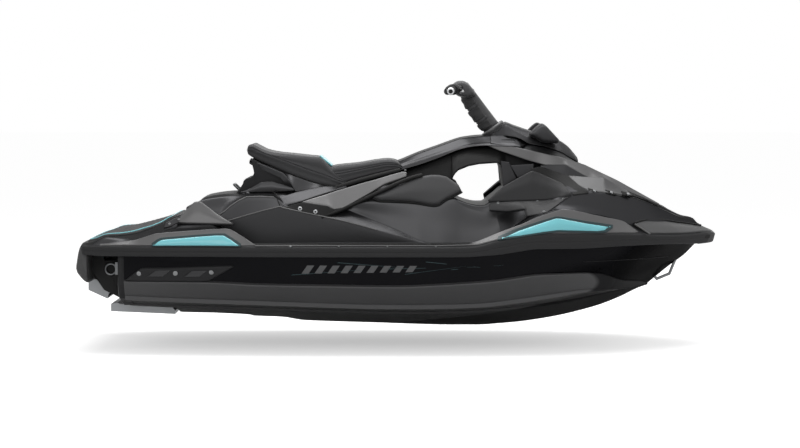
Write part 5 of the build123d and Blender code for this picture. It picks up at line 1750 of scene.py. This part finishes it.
chock_slots = piece("chock_slots", slots, "hull", black_rubber_and_shade)
chock_bolts = piece("chock_bolts", slot_bolts, "hull", fastener_steel)

BUMPER_OUTLINE = (
    (-1502, 424), (-1546, 426), (-1556, 392), (-1566, 330), (-1567, 312), (-1559, 287), (-1532, 254),
    (-1510, 240), (-1500, 252),
)
bumper = slice_form(
    BUMPER_OUTLINE, (148, 151, 158, 200, 270, 340, 378, 398, 408),
    (0.8, 0.93, 1, 1, 1, 0.99, 0.96, 0.88, 0.7), [5, 8, 8, 8, 6, 8, 10, 8, 6], [2] * 9,
)
bumper_bridge = slice_form(
    ((-1530, 406), (-1561, 406), (-1561, 424), (-1530, 425)), (-152, -148, 0, 148, 152),
    (0.9, 1, 1, 1, 0.9), [3] * 4, [2] * 4,
)
bumper_black = finish(
    "bumper_plastic", (0.046, 0.046, 0.047), (0.056, 0.056, 0.057), 0.48, 0.58, level=0.4, mottle=7.0,
    grain=1000.0, depth=0.0006, strength=0.45,
)
stern_bumper = piece("stern_bumper", pair(bumper) + [bumper_bridge], "hull", bumper_black, sharp=50)
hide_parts("stern_bumper")
shelf = slice_form(
    ((-1350, 372), (-1528, 380), (-1536, 402), (-1536, 420), (-1350, 420)),
    (-372, -366, -340, 0, 340, 366, 372), (0.92, 0.98, 1, 1, 1, 0.98, 0.92), [3, 6, 6, 3, 3], [2] * 5,
)
stern_shelf = piece("stern_shelf", [shelf], "hull", bumper_black, sharp=50)

SHROUD_OUTLINE = (
    (-1350, 344), (-1440, 346), (-1452, 384), (-1534, 384), (-1546, 340), (-1540, 308), (-1511, 256),
    (-1472, 250), (-1445, 200), (-1392, 174), (-1350, 152),
)
# Near-black slabs inside the bumpers under the stern deck's overhang: painted shade that fills the dark
# there.
shroud = slice_form(
    SHROUD_OUTLINE, (252, 255, 261, 276, 282, 285), (0.97, 0.99, 1, 1, 0.99, 0.97), [6] * 11, [3] * 11,
)
stern_shade_slabs = piece("stern_shade_slabs", pair(shroud), "hull", black_rubber_and_shade, sharp=50)

step_loop = (
    (-1560.5, -120, 312), (-1560.5, -120, 385), (-1560.5, -100, 393), (-1560.5, 100, 393),
    (-1560.5, 120, 385), (-1560.5, 120, 312),
)
step_tube = tube(step_loop, 6.0, sides=16, passes=8, count=90, lift=(1, 0, 0))
tread = slice_form(
    ((-1566, 312), (-1566, 332), (-1555, 332), (-1555, 312)), (-134, -131, -120, 0, 120, 131, 134),
    (0.8, 0.95, 1, 1, 1, 0.95, 0.8), [3] * 4, [2] * 4,
)
ribs = [
    slice_form(
        ((-1567, 315 + 5 * n), (-1567, 317 + 5 * n), (-1565, 318 + 5 * n), (-1565, 314 + 5 * n)),
        (-118, -116, 116, 118), (0.8, 1, 1, 0.8), [0.5] * 4, [1] * 4,
    ) for n in range(3)
]
hinge_rod = turned(
    ((-142, 2), (-142, 7), (-140, 8), (140, 8), (142, 7), (142, 2)), (-1562, 0, 303), (0, 1, 0), sides=24,
)
boarding_step = piece(
    "boarding_step", [step_tube, tread, hinge_rod] + ribs, "boarding_step", bumper_black, sharp=50,
)
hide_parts("boarding_step")


# ---------------------------------------------------------------------------------------------
# Deck mats
# Ribbed closed-cell foam bonded into the footwells and onto the rear deck, which is edged with a
# narrow teal inlay.
mat_foam = finish(
    "mat_foam", (0.030, 0.030, 0.031), (0.040, 0.040, 0.041), 0.66, 0.80, level=0.3, mottle=30.0,
    grain=800.0, depth=0.0008, strength=0.6,
)


def deck_height(x, y):
    """Height of the deck's flat parts at arrays of stations and half breadths, straight between its lines."""
    lines = [smooth(t, x) for t in (DECK_MIDDLE, WELL_FOOT, DECK_EDGE)]
    inner, well, edge = lines
    first = np.clip(y / well[:, 0], 0, 1)
    second = np.clip((y - well[:, 0]) / (edge[:, 0] - well[:, 0]), 0, 1)
    return inner[:, 1] + (well[:, 1] - inner[:, 1]) * first + (edge[:, 1] - well[:, 1]) * second


WELL_AFT, WELL_FORE, WELL_IN, WELL_OUT = -738, 318, 316, 468
REAR_AFT, REAR_FORE = -1518, -1096
MAT_EASE, RIB_RISE = 8, 2.2
well_x = np.linspace(WELL_AFT, WELL_FORE, 420)
well_y = np.array([316, 317.5, 321, 330, 350, 392, 434, 454, 463, 466.5, 468])
rise = np.sin(np.clip(np.minimum(well_y - WELL_IN, WELL_OUT - well_y) / MAT_EASE, 0, 1) * math.pi / 2)
ends = np.sin(np.clip(np.minimum(well_x - WELL_AFT, WELL_FORE - well_x) / MAT_EASE, 0, 1) * math.pi / 2)
gx, gy = np.meshgrid(well_x, well_y, indexing="ij")
inside = ((well_y > 329) & (well_y < 455)).astype(float)
height = 301 + 6 * rise[None, :] * ends[:, None] + RIB_RISE * ribs_at(well_x, 15)[:, None] * inside[None, :]
well_mat = closed_shell(np.dstack([gx, gy, height]), np.dstack([gx, gy, np.full_like(gx, 298.0)]))
rear_x = np.linspace(REAR_AFT, REAR_FORE, 260)
rear_share = np.concatenate([[0, 0.004, 0.012, 0.03], np.linspace(0.06, 0.94, 60), [0.97, 0.988, 0.996, 1]])
rear_half = smooth(
    ((-1524, 300), (-1490, 340), (-1418, 372), (-1300, 360), (-1220, 330), (-1150, 300), (-1096, 262)),
    rear_x,
)[:, 0]
gx = np.repeat(rear_x[:, None], len(rear_share), 1)
gy = (rear_share * 2 - 1)[None, :] * rear_half[:, None]
base = np.stack([deck_height(rear_x, np.abs(gy[:, j])) for j in range(len(rear_share))], axis=1)
edge_near = np.minimum(
    rear_half[:, None] - np.abs(gy), np.minimum(rear_x - REAR_AFT, REAR_FORE - rear_x)[:, None],
)
rise = np.sin(np.clip(edge_near / MAT_EASE, 0, 1) * math.pi / 2)
inside = np.clip((edge_near - 26) / 3, 0, 1)
chevrons = ribs_at(gx + 0.45 * np.abs(gy), 22)
rear_mat = closed_shell(
    np.dstack([gx, gy, base + 1 + 6 * rise + RIB_RISE * chevrons * inside]), np.dstack([gx, gy, base - 4]),
)
deck_mats = piece("deck_mats", pair(well_mat) + [rear_mat], "hull", mat_foam, sharp=60)
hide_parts("deck_mats")
around_x = np.concatenate([np.full(9, -1505.0), np.linspace(-1500, -1116, 50), np.full(9, -1112.0)])
half_there = np.interp(around_x, rear_x, rear_half) - 15
around_y = half_there.copy()
around_y[:9] = half_there[0] * np.linspace(0, 1, 9)
around_y[-9:] = half_there[-1] * np.linspace(1, 0, 9)
border = np.column_stack([around_x, around_y, deck_height(around_x, around_y) + 7.6])
border_teal = tube(border, 3.2, passes=1, count=120)
mat_border = piece("mat_border", pair(border_teal), "hull", inlay_teal, sharp=60)


# ---------------------------------------------------------------------------------------------
# Side striping
# A band of slanted satin dashes along the black topsides, crossed by thin teal lines. Above them,
# a pale grey tube is a painted highlight on each gunwale's edge, a black tube is painted shadow in
# the gap to the pedestal, and four bolts a side edge the gunwales.
stripe_grey = finish(
    "stripe_grey_film", (0.075, 0.076, 0.078), (0.088, 0.089, 0.091), 0.34, 0.42, level=0.4, metal=0.3,
    mottle=3.0, grain=1000.0, depth=0.0001, strength=0.1,
)
DASH_START, DASH_PITCH, DASH_WIDTH, DASH_LEVEL, DASH_SLANT = -470, 62, 34, 300, 0.7
dashes, lines_teal = [], []
for n in range(9):
    x = DASH_START + DASH_PITCH * n
    size = 40 - 1.2 * n
    level, lean = DASH_LEVEL + n, DASH_SLANT * size
    low = ((x, level), (x + DASH_WIDTH, level))
    top = ((x + lean, level + size), (x + DASH_WIDTH + lean, level + size))
    dashes += pair(panel(on_side(low, 0.4), on_side(top, 0.4), 0.7, rim=1, back=1, rows=6, cols=4))
for x, h, run, climb in (
    (-520, 292, 330, 26), (-300, 352, 300, -22), (20, 296, 290, 40), (120, 356, 260, -26),
    (-60, 322, 420, 10), (240, 318, 250, 22),
):
    low = ((x, h), (x + run, h + climb))
    top = ((x + 6, h + 3.2), (x + run + 4, h + climb + 1.2))
    lines_teal += pair(panel(on_side(low, 0.9), on_side(top, 0.9), 0.6, rim=0.8, back=1, rows=12, cols=3))
side_dashes = piece("side_dashes", dashes, "hull", stripe_grey, sharp=50)
side_lines = piece("side_lines", lines_teal, "hull", bezel_teal, sharp=50)
# A pale grey tube along the gunwale's outer edge: a painted highlight on that edge.
trim = tube(
    (
        (-690, 544, 435), (-300, 549, 435), (200, 549, 435), (372, 544, 439), (467, 540, 463),
        (563, 531, 481),
    ),
    3.4, lift=(0, 1, 0),
)
gunwale_edge_highlight = piece("gunwale_edge_highlight", pair(trim), "hull", cover_grey)
# A black tube in the gap between gunwale and pedestal: painted shadow in that gap.
gap = tube(
    ((-720, 528, 436), (-300, 536, 440), (200, 536, 440), (300, 532, 440), (345, 530, 442)), 5, sides=10,
    lift=(0, 1, 0),
)
upper = tube(
    ((-700, 518, 442), (-300, 526, 447), (200, 526, 447), (300, 522, 447), (335, 520, 449)), 2,
    lift=(0, 1, 0),
)
gunwale_shadow_line = piece("gunwale_painted_shadow", pair(gap), "hull", black_rubber_and_shade)
gunwale_lip = piece("gunwale_lip", pair(upper), "hull", body_paint)
gunwale_bolts = studs([(x, 546, 430) for x in (-521, -291, -60, 171)], (0, 0.5, 0.9), 6, 6)
deck_bolts = piece("gunwale_bolts", gunwale_bolts, "hull", fastener_steel)


# ---------------------------------------------------------------------------------------------
# Driveline, bucket, eyes and tub
# The turned and cast parts keep the CAD's own shapes: satin cast aluminium for the pump, nozzle,
# bucket and ride plate, bright steel for what spins, darker steel loops, and moulded plastic.
cast_alloy = finish(
    "cast_aluminium", (0.30, 0.31, 0.32), (0.37, 0.38, 0.39), 0.40, 0.52, metal=0.9, level=0.4, mottle=22.0,
    grain=800.0, depth=0.0003, strength=0.35,
)
spun_steel = finish(
    "spun_stainless", (0.50, 0.51, 0.52), (0.58, 0.59, 0.60), 0.20, 0.30, metal=1.0, mottle=26.0,
    grain=1400.0, depth=0.00008, strength=0.1,
)
loop_steel = finish(
    "eye_stainless", (0.16, 0.165, 0.17), (0.22, 0.225, 0.23), 0.24, 0.34, metal=1.0, mottle=24.0,
    grain=1400.0, depth=0.0001, strength=0.1,
)
tub_plastic = finish(
    "tub_plastic", (0.020, 0.020, 0.021), (0.028, 0.028, 0.029), 0.52, 0.64, level=0.3, mottle=8.0,
    grain=1000.0, depth=0.0006, strength=0.5,
)
engine_paint = finish(
    "engine_casting", (0.070, 0.072, 0.075), (0.110, 0.112, 0.115), 0.46, 0.60, metal=0.5, level=0.4,
    mottle=9.0, grain=600.0, depth=0.0008, strength=0.5,
)
for material, names in (
    (
        cast_alloy,
        ("pump_housing", "trim_ring", "steering_nozzle", "reverse_bucket", "ride_plate", "intake_grate"),
    ),
    (spun_steel, ("impeller", "drive_shaft")), (loop_steel, ("mooring_eyes", "tow_hook")),
    (tub_plastic, ("storage_tub",)), (engine_paint, ("engine",)),
):
    for name in names:
        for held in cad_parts[name].material_slots:
            held.material = material
